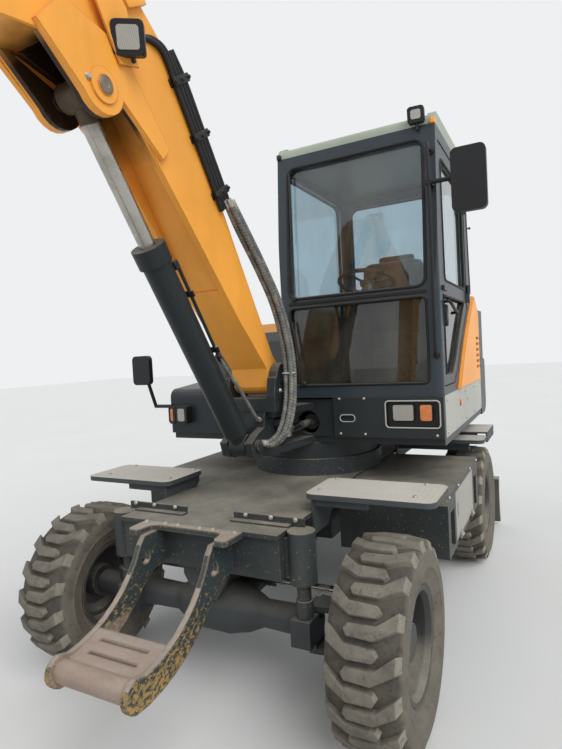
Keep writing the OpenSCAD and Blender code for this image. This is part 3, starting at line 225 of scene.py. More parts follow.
class Graph(Nodes):
    """A new material's nodes, which start with its shader, the place and the facing."""

    def __init__(self, name):
        self.material = bpy.data.materials.new(name)
        self.material.use_nodes = True
        super().__init__(self.material.node_tree)
        self.bsdf = self.node("BsdfPrincipled")
        self.out = self.node("OutputMaterial", Surface=self.bsdf.outputs[0])
        self.where = self.node("TexCoord").outputs["Object"]
        self.facing = self.node("NewGeometry").outputs["Normal"]

    def stretched(self, scale, turn=(0, 0, 0)):
        """The place in metres, turned and then scaled along each axis."""
        return self.node("Mapping", Vector=self.where, Scale=scale, Rotation=turn).outputs[0]

    def noise(self, scale, detail=3, rough=0.55, where=None):
        return self.node("TexNoise", Vector=where or self.where, Scale=scale, Detail=detail,
                         Roughness=rough).outputs["Fac"]

    def cells(self, scale):
        return self.node("TexVoronoi", Vector=self.where, Scale=scale).outputs["Distance"]

    def span(self, value, low, high, to_low=0.0, to_high=1.0):
        """The value moved from one range to another, and held inside it."""
        return self.node("MapRange", Value=value, From_Min=low, From_Max=high,
                         To_Min=to_low, To_Max=to_high).outputs["Result"]

    def mix(self, share, a, b):
        n = self.node("Mix")
        n.data_type = "RGBA"
        return self.set(n, Factor=share, A=a, B=b).outputs["Result"]

    def shades(self, share, colour, low, high):
        """From a darker shade of a colour to a brighter one."""
        return self.mix(share, scaled(colour, low), scaled(colour, high))

    def part(self, vector, axis):
        return self.node("SeparateXYZ", Vector=vector).outputs[axis]

    def at(self, axis):
        """The place along one axis, in metres in the row frame."""
        return self.part(self.where, axis)

    def look(self, axis):
        """How far a face looks along one axis, from -1 to 1."""
        return self.part(self.facing, axis)

    def reach(self, point):
        """How far a place is from the line along Y through that point, whose y is 0."""
        flat = self.stretched((1, 0, 1))
        return self.pair("VectorMath", "DISTANCE", flat, point).outputs["Value"]

    def rounded(self, radius):
        """(the normal with edges rounded by that radius, how near an edge is from 0 to 1)."""
        n = self.node("Bevel", Radius=radius)
        n.samples = 4
        normal = n.outputs[0]
        cosine = self.pair("VectorMath", "DOT_PRODUCT", normal, self.facing).outputs["Value"]
        return normal, self.span(cosine, FLAT_COSINE, EDGE_COSINE)

    def bump(self, height, strength, distance, normal=None):
        n = self.node("Bump", Strength=strength, Distance=distance, Height=height)
        if normal:
            self.set(n, Normal=normal)
        return n.outputs[0]

    def finish(self, colour, roughness, normal=None, metallic=0.0, shine=0.5):
        self.set(self.bsdf, Base_Color=colour, Roughness=roughness, Metallic=metallic,
                 Specular_IOR_Level=shine)
        if normal:
            self.set(self.bsdf, Normal=normal)
        return self.material


def dust_share(g, amount, fine, splash=0.16):
    """Dust that lies on what faces up, in patches, and splashed thinly near the ground."""
    up = g.span(g.look(2), 0.25, 0.95)
    low = g.span(g.at(2), SPLASH_TOP, SPLASH_FULL)
    patches = g.span(g.noise(4.5, 5, 0.65), 0.36, 0.66)
    share = g.plus(g.times(up, 0.8), g.times(low, splash))
    share = g.plus(share, 0.03)
    share = g.times(share, g.plus(g.times(patches, 0.45), 0.55))
    grain = g.span(fine, 0.3, 0.7, 0.75, 1.1)
    return g.times(g.times(share, grain), amount, clamp=True)


def paint(name, colour, rough=0.42, dust=0.6, wear=0.6, rust=0.25, edge=5, bare=PRIMER,
          checker=False, second=None, where_second=None, specks=0.0):
    """Machine paint: faded and streaked, chipped at its edges, scratched and dusty."""
    g = Graph(name)
    fine = g.noise(95, 6, 0.65)
    broad = g.span(g.noise(1.8, 4), 0.32, 0.68)
    streaks = g.noise(16, 5, 0.6, g.stretched((1, 1, 0.09)))
    scratch = g.noise(60, 3, 0.6, g.stretched((1, 14, 1), (0.3, 0.6, 0.5)))
    tone = g.shades(broad, colour, 0.9, 1.1)
    tone = g.mix(g.times(g.span(streaks, 0.5, 0.75), 0.25), tone, scaled(colour, 0.75))
    if second:
        other = g.shades(broad, second, 0.88, 1.12)
        tone = g.mix(where_second(g), tone, other)
    scratch = g.times(g.span(scratch, 0.62, 0.72), 0.16 * wear + 0.04)
    tone = g.mix(scratch, tone, scaled(DUST, 1.1))
    normal, near = g.rounded(edge * MM)
    worn = g.plus(near, g.times(g.minus(fine, 0.5), 2.4))
    chips = g.times(g.span(worn, 0.55, 0.8), wear, clamp=True)
    blots = g.span(g.noise(13, 7, 0.72), 0.665, 0.7)
    chips = g.math("MAXIMUM", chips, g.times(blots, rust))
    tone = g.mix(chips, tone, g.mix(g.span(g.noise(40, 3), 0.4, 0.6), bare, RUST))
    if specks:
        nicks = g.span(g.noise(70, 2, 0.5), 0.665, 0.69)
        tone = g.mix(g.times(nicks, specks), tone, SPECK)
    dust_here = dust_share(g, dust, fine)
    tone = g.mix(dust_here, tone, g.shades(g.noise(30, 4), DUST, 0.85, 1.1))
    gloss = g.span(fine, 0.3, 0.7, rough - 0.08, rough + 0.1)
    gloss = g.plus(gloss, g.times(dust_here, 0.45), clamp=True)
    height = g.plus(g.times(fine, 0.25), g.times(g.noise(7, 2), 0.9))
    height = g.minus(height, g.times(chips, 0.35))
    if checker:
        bars = g.times(tread_bars(g), facing_up(g))
        height = g.plus(height, g.times(bars, 2.2))
        tone = g.mix(g.times(bars, 0.35), tone, scaled(DUST, 1.6))
    normal = g.bump(height, 0.35, 2.2 * MM, normal)
    return g.finish(tone, gloss, normal, g.times(chips, 0.35), shine=0.28)


def tread_bars(g, pitch=26):
    """Raised bars of a tread plate, turned one way and the other in turn."""
    cell = g.stretched((1000 / pitch, 1000 / pitch, 1))
    x, y = g.part(cell, 0), g.part(cell, 1)
    odd = g.math("MODULO", g.plus(g.math("FLOOR", x), g.math("FLOOR", y)), 2)
    flip = g.span(g.size(odd), 0, 1, -1, 1)
    u, v = (g.minus(g.math("FRACT", g.plus(axis, 100)), 0.5) for axis in (x, y))
    v = g.times(v, flip)
    along = g.times(g.plus(u, v), 1.25)
    across = g.times(g.minus(u, v), 4.2)
    far = g.plus(g.times(along, along), g.times(across, across))
    return g.span(far, 1.0, 0.45)


def bare_steel(name, colour, rough=0.45, dust=0.35, rust=0.5, edge=4):
    """Steel whose paint is worn away, brown in its hollows and bright along its edges."""
    g = Graph(name)
    fine = g.noise(70, 6, 0.6)
    rubbed = g.noise(34, 4, 0.6, g.stretched((1, 7, 1), (0.2, 0.1, 0.7)))
    brown = g.span(g.noise(9, 6, 0.7), 0.45, 0.62)
    tone = g.shades(g.span(rubbed, 0.35, 0.65), colour, 0.78, 1.15)
    tone = g.mix(g.times(brown, rust), tone, RUST)
    normal, near = g.rounded(edge * MM)
    tone = g.mix(g.times(near, 0.55), tone, scaled(STEEL, 1.35))
    dust_here = dust_share(g, dust, fine)
    tone = g.mix(dust_here, tone, DUST)
    gloss = g.plus(g.span(rubbed, 0.3, 0.7, rough - 0.1, rough + 0.15),
                   g.times(dust_here, 0.4), clamp=True)
    normal = g.bump(g.plus(fine, rubbed), 0.4, 1.2 * MM, normal)
    return g.finish(tone, gloss, normal, g.minus(0.6, dust_here, clamp=True))


def cast(name, colour):
    """Sand-cast iron under thin paint and road dust."""
    g = Graph(name)
    grain = g.noise(150, 4, 0.7)
    normal, near = g.rounded(6 * MM)
    tone = g.shades(g.span(g.noise(6, 5), 0.35, 0.65), colour, 0.8, 1.25)
    tone = g.mix(g.times(near, 0.35), tone, PRIMER)
    dust_here = dust_share(g, 0.45, grain)
    tone = g.mix(dust_here, tone, scaled(DUST, 0.8))
    normal = g.bump(grain, 0.45, 1.5 * MM, normal)
    return g.finish(tone, g.span(grain, 0.3, 0.7, 0.6, 0.85), normal)


def chrome(name, eye=None, eye_r=0.1):
    """A ram's rod: hard chrome with fine lines and a film of oil, and a greasy painted eye."""
    g = Graph(name)
    lines = g.noise(240, 2, 0.5)
    film = g.span(g.noise(7, 5, 0.65), 0.42, 0.66)
    tone = g.mix(g.times(film, 0.6), rgb(176, 173, 166), rgb(108, 100, 86))
    gloss = g.plus(g.span(lines, 0.3, 0.7, 0.14, 0.24), g.times(film, 0.3))
    metal = g.span(film, 0, 1, 1.0, 0.55)
    if eye:
        share = g.span(g.reach(eye), eye_r, eye_r - 0.004)
        tone = g.mix(share, tone, g.mix(g.noise(12, 5), rgb(48, 38, 28), rgb(92, 72, 48)))
        metal = g.times(metal, g.minus(1.0, share))
        gloss = g.plus(gloss, g.times(share, 0.25))
    normal = g.bump(lines, 0.05, 0.3 * MM)
    return g.finish(tone, gloss, normal, metal)


def rubber(name, colour, dusty, dust=0.9):
    """Tyre rubber, grey-brown with road dust, rubbed darker in patches."""
    g = Graph(name)
    grain = g.noise(170, 5, 0.7)
    patches = g.noise(8, 6, 0.7)
    rub = g.noise(30, 4, 0.6, g.stretched((1, 1, 3)))
    normal, near = g.rounded(4 * MM)
    tone = g.shades(g.span(rub, 0.35, 0.65), colour, 0.8, 1.2)
    share = g.times(g.span(patches, 0.3, 0.62, 0.3, 1.0), dust)
    share = g.times(share, g.span(grain, 0.35, 0.65, 0.7, 1.0), clamp=True)
    tone = g.mix(share, tone, dusty)
    side = g.span(g.size(g.look(1)), 0.6, 0.9)
    side = g.times(side, g.span(patches, 0.25, 0.6, 0.5, 1.0))
    tone = g.mix(g.times(side, 0.8), tone, scaled(dusty, 1.25))
    tone = g.mix(g.times(near, 0.35), tone, scaled(dusty, 1.15))
    nicks = g.span(g.noise(38, 6, 0.75), 0.56, 0.66)
    tone = g.mix(g.times(nicks, 0.45), tone, scaled(colour, 0.6))
    height = g.plus(grain, g.times(g.cells(55), 0.6))
    height = g.minus(height, g.times(nicks, 0.8))
    normal = g.bump(height, 0.6, 2.2 * MM, normal)
    return g.finish(tone, g.span(share, 0, 1, 0.62, 0.92), normal, shine=0.3)


def plastic(name, colour, rough=0.5, dust=0.35):
    """Moulded plastic with a fine grain and a little dust."""
    g = Graph(name)
    grain = g.cells(420)
    normal, near = g.rounded(3 * MM)
    tone = g.shades(g.noise(5, 4), colour, 0.85, 1.2)
    tone = g.mix(g.times(near, 0.25), tone, scaled(colour, 2.2))
    dust_here = dust_share(g, dust, g.noise(80, 4))
    tone = g.mix(dust_here, tone, DUST)
    gloss = g.plus(g.span(grain, 0, 0.6, rough - 0.06, rough + 0.08),
                   g.times(dust_here, 0.35), clamp=True)
    return g.finish(tone, gloss, g.bump(grain, 0.12, 0.4 * MM, normal), shine=0.32)


def glass(name, tint, shaded_low_tint, film=0.06):
    """Window glass, darker in the low panes as painted shade of the dim cab inside, with a thin
    uneven film of dust.
    """
    g = Graph(name)
    g.set(g.bsdf, Transmission_Weight=1.0, IOR=1.5)
    # The low panes' darker tint is painted shade, standing for the dim cab inside behind them
    low = g.span(g.at(2), LOW_PANES_TOP + 0.03, LOW_PANES_TOP - 0.03)
    tone = g.mix(low, tint, shaded_low_tint)
    g.finish(tone, g.span(g.noise(6, 3), 0.35, 0.75, 0.0, 0.003))
    smear = g.noise(5, 6, 0.68, g.stretched((1, 1, 0.4)))
    smear = g.span(smear, 0.42, 0.8, 0.25 * film, 2 * film)
    dirt = g.node("BsdfDiffuse", Color=scaled(DUST, 1.2))
    seen = g.mix_shaders(smear, g.bsdf, dirt)
    shadow = g.node("LightPath").outputs["Is Shadow Ray"]
    through = g.node("BsdfTransparent", Color=tone)
    g.set(g.out, Surface=g.mix_shaders(shadow, seen, through).outputs[0])
    return g.material


def lens(name, colour, rough=0.08):
    """A lamp's moulded lens, ribbed on the inside."""
    g = Graph(name)
    ribs = g.node("TexWave", Vector=g.where, Scale=60, Distortion=0.3)
    ribs.bands_direction = "Y"
    g.set(g.bsdf, Coat_Weight=1.0, Coat_Roughness=0.04)
    tone = g.shades(ribs.outputs["Fac"], colour, 0.7, 1)
    tone = g.mix(g.times(g.span(g.noise(40, 5), 0.5, 0.7), 0.25), tone, DUST)
    normal = g.bump(ribs.outputs["Fac"], 0.4, 1.0 * MM)
    return g.finish(tone, g.span(g.noise(60), 0.3, 0.7, rough, rough + 0.1), normal, 0.25)


def wrapped_hose():
    """Grey spiral guard on a hose: the turns follow the tube's own length."""
    g = Graph("spiral_guard")
    uv = g.node("TexCoord").outputs["UV"]
    u, v = g.part(uv, 0), g.part(uv, 1)
    turn = g.math("FRACT", g.plus(g.times(v, 1000 / GUARD_PITCH), u))
    strip = g.span(g.size(g.minus(turn, 0.5)), 0.5, 0.36)
    tone = g.mix(strip, rgb(30, 30, 30), rgb(98, 100, 98))
    soil = g.noise(26, 5, 0.7)
    tone = g.mix(g.span(soil, 0.45, 0.7, 0.0, 0.7), tone, scaled(DUST, 0.8))
    normal = g.bump(g.plus(strip, g.times(soil, 0.2)), 0.9, 2.0 * MM)
    return g.finish(tone, g.span(soil, 0.3, 0.7, 0.45, 0.75), normal)


def cloth(name, colour):
    """Seat fabric: a close weave, rubbed paler on its crowns."""
    g = Graph(name)
    threads = [g.math("SINE", g.times(g.at(axis), WEAVE)) for axis in (0, 2)]
    weave = g.times(*threads)
    worn = g.noise(9, 5, 0.6)
    tone = g.shades(g.span(weave, -1, 1), colour, 0.7, 1.25)
    tone = g.mix(g.span(worn, 0.5, 0.75, 0.0, 0.45), tone, scaled(DUST, 0.6))
    g.set(g.bsdf, Sheen_Weight=0.4, Sheen_Roughness=0.5)
    return g.finish(tone, g.span(worn, 0.3, 0.7, 0.82, 0.95), g.bump(weave, 0.3, 0.5 * MM))


def floor_material():
    """Pale studio floor, very slightly uneven in tone."""
    g = Graph("studio_floor")
    tone = g.mix(g.noise(0.8, 3), rgb(214, 214, 212), rgb(222, 222, 220))
    return g.finish(tone, g.span(g.noise(12), 0.3, 0.7, 0.75, 0.85))


def front_panel(g):
    """The skirt's panel under the windscreen, which is painted dark."""
    return g.span(g.at(0), SKIRT_FRONT, SKIRT_FRONT + 3 * MM)


def right_front(g):
    """The dark front of the right-hand cover, up to a slanted line."""
    ahead = g.plus(g.at(0), g.times(g.at(2), 0.6))
    share = g.span(ahead, -0.36, -0.355)
    return g.times(share, g.span(g.at(1), 0.2, 0.19))


def shaded_greasy_hollow(g):
    """Dark grease with painted shade in the hollow between the boom's lugs, round the eye of its
    ram.
    """
    ragged = g.plus(g.reach(RAM_EYE), g.times(g.noise(9, 5), 0.16))
    inside = g.span(g.size(g.at(1)), BOOM_LUG_GAP + 0.001, BOOM_LUG_GAP - 0.002)
    return g.times(g.span(ragged, 0.44, 0.26), inside)


def facing_up(g):
    """Where a face looks up."""
    return g.span(g.look(2), 0.6, 0.7)


def step_steel(name):
    """The step: scarred dark paint, bare and brown where boots and chains have rubbed it."""
    g = Graph(name)
    fine = g.noise(95, 6, 0.65)
    height = g.at(2)
    normal, near = g.rounded(14 * MM)
    tone = g.mix(g.noise(9, 5), rgb(34, 46, 50), rgb(54, 64, 64))
    low = g.span(height, 0.72, 0.46)
    scars = g.noise(46, 6, 0.75, g.stretched((1, 1, 1.6)))
    scars = g.span(g.plus(scars, g.times(low, 0.14)), 0.6, 0.63)
    tone = g.mix(scars, tone, g.mix(g.noise(24, 3), rgb(186, 152, 84), rgb(120, 96, 66)))
    worn = g.span(g.plus(near, g.minus(fine, 0.5)), 0.35, 0.6)
    tone = g.mix(worn, tone, g.mix(fine, rgb(168, 152, 130), rgb(118, 96, 76)))
    tread = g.times(facing_up(g), g.span(g.noise(14, 5, 0.7), 0.2, 0.4))
    tone = g.mix(tread, tone, g.mix(g.noise(60, 5), rgb(170, 158, 146), rgb(128, 116, 104)))
    middle = g.span(g.size(g.at(1)), STEP_TUBE_HALF + 0.002, STEP_TUBE_HALF - 0.002)
    tube = g.times(g.span(height, STEP_TUBE_TOP, STEP_TUBE_TOP - 0.015), middle)
    brown = g.mix(g.noise(18, 6, 0.7, g.stretched((1, 0.25, 1))), rgb(136, 112, 100),
                  rgb(182, 168, 154))
    tone = g.mix(tube, tone, brown)
    normal = g.bump(g.minus(fine, g.times(scars, 0.7)), 0.5, 1.6 * MM, normal)
    bare = g.math("MAXIMUM", worn, g.times(tube, 0.7))
    return g.finish(tone, g.span(fine, 0.3, 0.7, 0.5, 0.75), normal, g.times(bare, 0.45))


# Slot, colour, dust, wear, rust, and what differs from paint()'s own values
PAINTS = (
    ("chassis_paint", rgb(30, 41, 46), 0.7, 0.8, 0.3, dict(specks=0.3)),
    ("fender_paint", rgb(58, 66, 70), 0.5, 0.7, 0.3,
     dict(rough=0.55, checker=True, second=rgb(196, 194, 188), where_second=facing_up)),
    ("box_door_paint", rgb(158, 156, 146), 0.6, 0.7, 0.3, {}),
    ("rim_paint", rgb(24, 31, 37), 0.8, 1.0, 0.3, dict(edge=7, bare=STEEL)),
    ("blade_paint", rgb(66, 64, 60), 0.9, 1.0, 0.7, dict(edge=8, bare=STEEL)),
    ("ram_paint", rgb(28, 35, 38), 0.4, 0.5, 0.1, {}),
    ("house_dark", DARK_PAINT, 0.4, 0.5, 0.1, dict(rough=0.36)),
    ("house_orange", rgb(240, 158, 60), 0.18, 0.5, 0.08,
     dict(rough=0.36, second=DARK_PAINT, where_second=right_front)),
    ("panel_grey", rgb(172, 172, 162), 0.4, 0.5, 0.1,
     dict(second=rgb(28, 36, 41), where_second=front_panel)),
    ("cab_paint", rgb(44, 53, 60), 0.35, 0.5, 0.08, dict(rough=0.34)),
    ("roof_paint", rgb(156, 166, 152), 0.5, 0.3, 0.1, {}),
    ("post_paint", rgb(31, 39, 42), 0.4, 0.9, 0.3, dict(bare=STEEL)),
    # The hollow between the boom's lugs gets grease with painted shade
    ("boom_orange", rgb(243, 165, 66), 0.25, 0.55, 0.08,
     dict(rough=0.36, second=GREASE_AND_SHADE, where_second=shaded_greasy_hollow)),
    ("ram_orange", rgb(28, 35, 38), 0.35, 0.5, 0.1, {}),
    ("link_paint", rgb(52, 58, 60), 0.6, 0.9, 0.3, dict(bare=STEEL)),
)
MATERIALS = {name: paint(name, colour, dust=dust, wear=wear, rust=rust, **more)
             for name, colour, dust, wear, rust, more in PAINTS}
# Maker, slot, and the maker's other values in their order
OTHERS = (
    (step_steel, "step_steel"),
    (cast, "axle_casting", rgb(34, 42, 48)),
    (cast, "engine_block", rgb(70, 68, 64)),
    (chrome, "rod_chrome"),
    (rubber, "tyre_rubber", rgb(44, 42, 40), rgb(104, 98, 88), 0.75),
    # The second glass tint is painted shade for the low panes
    (glass, "window_glass", rgb(196, 214, 222), rgb(88, 104, 102)),
    (plastic, "cab_trim", rgb(34, 35, 37), 0.55),
    (plastic, "mirror_shell", rgb(17, 19, 23), 0.4, 0.15),
    (plastic, "lamp_housing", rgb(22, 22, 23), 0.4, 0.15),
    (plastic, "line_black", rgb(26, 26, 26), 0.45, 0.25),
    (bare_steel, "bucket_steel", rgb(150, 138, 118), 0.45, 0.9, 0.4, 9),
)
for maker, name, *values in OTHERS:
    MATERIALS[name] = maker(name, *values)
LAMP_BLACK = MATERIALS["lamp_housing"]
HOSE_BLACK = MATERIALS["line_black"]
GUARD = wrapped_hose()
LUG_RUBBER = rubber("lug_rubber", rgb(74, 71, 65), rgb(134, 128, 116), 0.85)
SEAT_CLOTH = cloth("seat_cloth", rgb(44, 46, 50))
CLEAR_LENS = lens("clear_lens", rgb(166, 166, 158))
AMBER_LENS = lens("amber_lens", rgb(226, 120, 24))
MIRROR_FACE = chrome("mirror_face")
BOOM_ROD = chrome("boom_rod", RAM_EYE)
BRIGHT = bare_steel("bright_fitting", rgb(186, 182, 172), 0.3, 0.2, 0.15)
PIN_STEEL = bare_steel("pin_steel", rgb(132, 120, 104), 0.4, 0.3, 0.45)
SEAL = plastic("window_rubber", rgb(22, 22, 23), 0.6, 0.25)
RIM_GREY = plastic("recess_grey", rgb(170, 172, 166), 0.4, 0.3)
TIE = plastic("cable_tie", rgb(214, 212, 204), 0.4, 0.2)


def dress_nodes():
    """Each node of the model gets its slot's material."""
    for row in frame["record"]["subparts"]:
        node = frame["nodes"][row["node"]]
        node.data.materials.clear()
        node.data.materials.append(MATERIALS[row["material_slot"]])
    frame["nodes"]["boom_ram_rod"].data.materials[0] = BOOM_ROD


# ---- mesh helpers

LEFT = (0, 1, 0)
RIGHT = (0, -1, 0)
FRONT = (1, 0, 0)
BACK = (-1, 0, 0)
UP = (0, 0, 1)


def piece(name, bm, body, slot, material=None, sharp=35):
    """A new object that rides on a body, in its slot's material unless another is given.

    Its edges are smooth up to the sharp angle, in degrees.
    """
    bmesh.ops.recalc_face_normals(bm, faces=bm.faces)
    for face in bm.faces:
        face.smooth = True
    for edge in bm.edges:
        if len(edge.link_faces) == 2 and edge.calc_face_angle() > math.radians(sharp):
            edge.smooth = False
    mesh = bpy.data.meshes.new(name)
    bm.to_mesh(mesh)
    bm.free()
    mesh.materials.append(material or MATERIALS[slot])
    obj = add_object(name, mesh)
    if body:
        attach(obj, body)
    return obj


def smooth_path(points, steps):
    """Points on a round curve through the given ones."""
    ends = [2 * points[0] - points[1]] + list(points) + [2 * points[-1] - points[-2]]
    path = []
    for i in range(1, len(ends) - 2):
        p0, p1, p2, p3 = ends[i - 1:i + 3]
        for k in range(steps):
            t = k / steps
            path.append(0.5 * (2 * p1 + (p2 - p0) * t + (2 * p0 - 5 * p1 + 4 * p2 - p3) * t * t
                               + (3 * p1 - p0 - 3 * p2 + p3) * t ** 3))
    path.append(points[-1])
    return path


def circle(n):
    """The cosine and sine of n even steps round a turn."""
    turns = (2 * math.pi * k / n for k in range(n))
    return [(math.cos(t), math.sin(t)) for t in turns]


def add_tube(bm, path, radius, sides=14, closed=False):
    """A round tube along a path, with its turns in u and its length in metres in v."""
    uv = bm.loops.layers.uv.verify()
    r = radius * MM
    n = len(path)
    way = (path[1] - path[0]).normalized()
    side = way.orthogonal().normalized()
    rings = []
    along = [0.0]
    for i, p in enumerate(path):
        a = path[(i - 1) % n] if closed or i > 0 else p
        b = path[(i + 1) % n] if closed or i < n - 1 else p
        way = (b - a).normalized()
        side = (side - way * side.dot(way)).normalized()
        up = way.cross(side)
        rings.append([bm.verts.new(p + r * (side * c + up * s)) for c, s in circle(sides)])
        if i:
            along.append(along[-1] + (p - path[i - 1]).length)
    for i in range(n if closed else n - 1):
        j = (i + 1) % n
        for k in range(sides):
            m = (k + 1) % sides
            face = bm.faces.new((rings[i][k], rings[i][m], rings[j][m], rings[j][k]))
            low = along[i]
            high = along[i + 1] if i + 1 < n else low + 0.02
            corners = ((k, low), (k + 1, low), (k + 1, high), (k, high))
            for loop, (u, v) in zip(face.loops, corners):
                loop[uv].uv = (u / sides, v)
    if not closed:
        bm.faces.new(rings[0][::-1])
        bm.faces.new(rings[-1])


def frame_at(centre, normal, up=UP):
    """A matrix whose Z runs along the normal."""
    z = Vector(normal).normalized()
    x = Vector(up).cross(z)
    x = x.normalized() if x.length > 0.01 else z.orthogonal().normalized()
    m = Matrix((x, z.cross(x), z)).transposed().to_4x4()
    return Matrix.Translation(centre) @ m


def add_box(bm, centre, size, round_by=2, normal=UP, up=LEFT):
    """A box with rounded edges. Sizes are in millimetres, and the last runs along the normal."""
    made = bmesh.ops.create_cube(bm, size=1)["verts"]
    bmesh.ops.scale(bm, vec=Vector(size) * MM, verts=made)
    edges = list({e for v in made for e in v.link_edges})
    done = bmesh.ops.bevel(bm, geom=edges, offset=round_by * MM, segments=2,
                           affect="EDGES", profile=0.5)
    verts = list({v for f in done["faces"] for v in f.verts} | {v for v in made if v.is_valid})
    bmesh.ops.transform(bm, matrix=frame_at(centre, normal, up), verts=verts)


def add_turned(bm, profile, centre, normal, steps=32):
    """A turned form. Its profile is a closed or axis-to-axis list of [radius, along] in mm."""
    m = frame_at(centre, normal)
    rings = []
    for r, z in profile:
        if r < 0.01:
            rings.append([bm.verts.new(m @ Vector((0, 0, z * MM)))])
        else:
            rings.append([bm.verts.new(m @ Vector((r * MM * c, r * MM * s, z * MM)))
                          for c, s in circle(steps)])
    for a, b in zip(rings, rings[1:]):
        for k in range(steps):
            j = (k + 1) % steps
            corners = (a[k % len(a)], a[j % len(a)], b[j % len(b)], b[k % len(b)])
            corners = list(dict.fromkeys(corners))
            if len(corners) > 2:
                bm.faces.new(corners)


def drum(r, low, high):
    """The profile of a plain round bar."""
    return [(0, low), (r, low), (r, high), (0, high)]


def add_bolt(bm, centre, normal, across=19, high=9):
    """A hexagon head with a chamfer, on its washer."""
    washer = across * 0.72
    add_turned(bm, [(0, -1), (washer, -1), (washer, 2), (washer - 1, 2.6), (0, 2.6)],
               centre, normal, 20)
    r = across / 2 / math.cos(math.pi / 6)
    add_turned(bm, [(0, 2), (r, 2), (r, high - 1.5), (r * 0.86, high), (0, high)],
               centre, normal, 6)


def add_plate(bm, outline, thick, centre, normal, up=UP, round_by=1.5):
    """A flat plate of that outline in millimetres, with softened edges."""
    m = frame_at(centre, normal, up)
    low = [bm.verts.new(m @ Vector((x * MM, y * MM, 0))) for x, y in outline]
    high = [bm.verts.new(m @ Vector((x * MM, y * MM, thick * MM))) for x, y in outline]
    n = len(outline)
    bm.faces.new(low[::-1])
    top = bm.faces.new(high)
    for i in range(n):
        j = (i + 1) % n
        bm.faces.new((low[i], low[j], high[j], high[i]))
    bmesh.ops.bevel(bm, geom=list(top.edges), offset=round_by * MM, segments=2, affect="EDGES")


def rounded_rect(x0, y0, x1, y1, r, n=6):
    """Corners of a rounded rectangle, in millimetres."""
    points = []
    for cx, cy, a in ((x1 - r, y1 - r, 0), (x0 + r, y1 - r, 90), (x0 + r, y0 + r, 180),
                      (x1 - r, y0 + r, 270)):
        for k in range(n + 1):
            t = math.radians(a + 90 * k / n)
            points.append((cx + r * math.cos(t), cy + r * math.sin(t)))
    return points


def panel(half_w, half_h, r):
    """A rounded rectangle about its own middle."""
    return rounded_rect(-half_w, -half_h, half_w, half_h, r)


# ---- tyres

TYRE_R = 415
LUGS = 18
HALF_TRACK = 825
WHEELS = (
    ("front_left", 1200, 1), ("front_right", 1200, -1),
    ("rear_left", -900, 1), ("rear_right", -900, -1),
)
# A lug's corners: way round the tyre, way across at its foot, foot radius, way across at its
# top, top radius
LUG_CORNERS = (
    (-88, 145, 363, 128, 405), (-22, 145, 363, 128, 405), (27, 48, 387, 46, 415),
    (24, -52, 387, -50, 415), (0, -68, 387, -64, 415), (-22, -52, 387, -50, 415),
    (-26, 60, 387, 56, 415),
)
# How deep a lug's foot lies in the skin, and how far wear has rounded its edges
LUG_SUNK = 8
LUG_WEAR = 5
# Edges sharper than this, in radians, and further from the axle than this, in metres, are worn
SHARP = 0.45
WORN_FROM = 0.3
# The skin's radius and half width, from the rim outwards
CARCASS = (
    (210.5, 100), (211, 105.4), (216, 109), (222, 118), (232, 124), (236, 128), (242, 128.5),
    (247, 129), (262, 137), (280, 144), (292, 147), (294, 149.5), (300, 149.8), (302, 148.4),
    (320, 149.4), (338, 149), (352, 147), (363, 142), (374, 132), (382, 118), (386, 96),
    (387.5, 60), (388, 20),
)


def on_tyre(x, side, r, around, across, i, half):
    """A point of lug i of one half of a tread, as part of the wheel at x on that side."""
    a = math.radians(360 / LUGS * (i + half / 2)) + around / TYRE_R
    flip = -1 if half else 1
    return place(x - r * math.cos(a), side * HALF_TRACK - flip * across,
                 TYRE_R + r * math.sin(a))


def add_lug(bm, x, side, i, half):
    """One lug, a bent prism that narrows towards its top."""
    foot, top = [], []
    for around, foot_y, foot_r, top_y, top_r in LUG_CORNERS:
        wide = 1.06 if abs(around) < 80 else 1.02
        low = on_tyre(x, side, foot_r - LUG_SUNK, around * wide, foot_y, i, half)
        foot.append(bm.verts.new(low))
        top.append(bm.verts.new(on_tyre(x, side, top_r, around * 0.98, top_y, i, half)))
    bm.faces.new(foot[::-1])
    for corners in ((0, 1, 2, 6), (6, 2, 3, 5), (5, 3, 4)):
        bm.faces.new([top[k] for k in corners])
    for k in range(len(top)):
        j = (k + 1) % len(top)
        bm.faces.new((foot[k], foot[j], top[j], top[k]))


def make_tyre(name, x, side):
    """A dusty industrial tyre with bent lugs, rounded by wear."""
    bm = bmesh.new()
    profile = list(CARCASS) + [(r, -y) for r, y in reversed(CARCASS)]
    add_turned(bm, profile + [profile[0]], place(x, side * HALF_TRACK, TYRE_R), LEFT, 108)
    bmesh.ops.remove_doubles(bm, verts=bm.verts, dist=1e-5)
    lugs = bmesh.new()
    for half in (0, 1):
        for i in range(LUGS):
            add_lug(lugs, x, side, i, half)
    bmesh.ops.recalc_face_normals(lugs, faces=lugs.faces)
    worn = [e for e in lugs.edges if e.calc_face_angle(0) > SHARP
            and min((v.co - place(x, v.co.y / MM, TYRE_R)).length for v in e.verts) > WORN_FROM]
    bmesh.ops.bevel(lugs, geom=worn, offset=LUG_WEAR * MM, segments=3, profile=0.5,
                    affect="EDGES", clamp_overlap=True)
    for face in lugs.faces:
        face.material_index = 1
    temp = bpy.data.meshes.new("lugs")
    lugs.to_mesh(temp)
    lugs.free()
    bm.from_mesh(temp)
    bpy.data.meshes.remove(temp)
    obj = piece("tread_" + name, bm, "wheel_" + name, "tyre_rubber", sharp=50)
    obj.data.materials.append(LUG_RUBBER)
    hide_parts("tyre_" + name)


# ---- cab

CAB_Y = 445
RAIL_Y = 895
DOOR_Y = 914
SCREEN_X = 390
# Where the front starts to lean back, and by how much over the height above
LEAN_FROM = 1900
LEAN = 80 / 890
RIGHT_WALL_Y = -28
REAR_WALL_X = -738
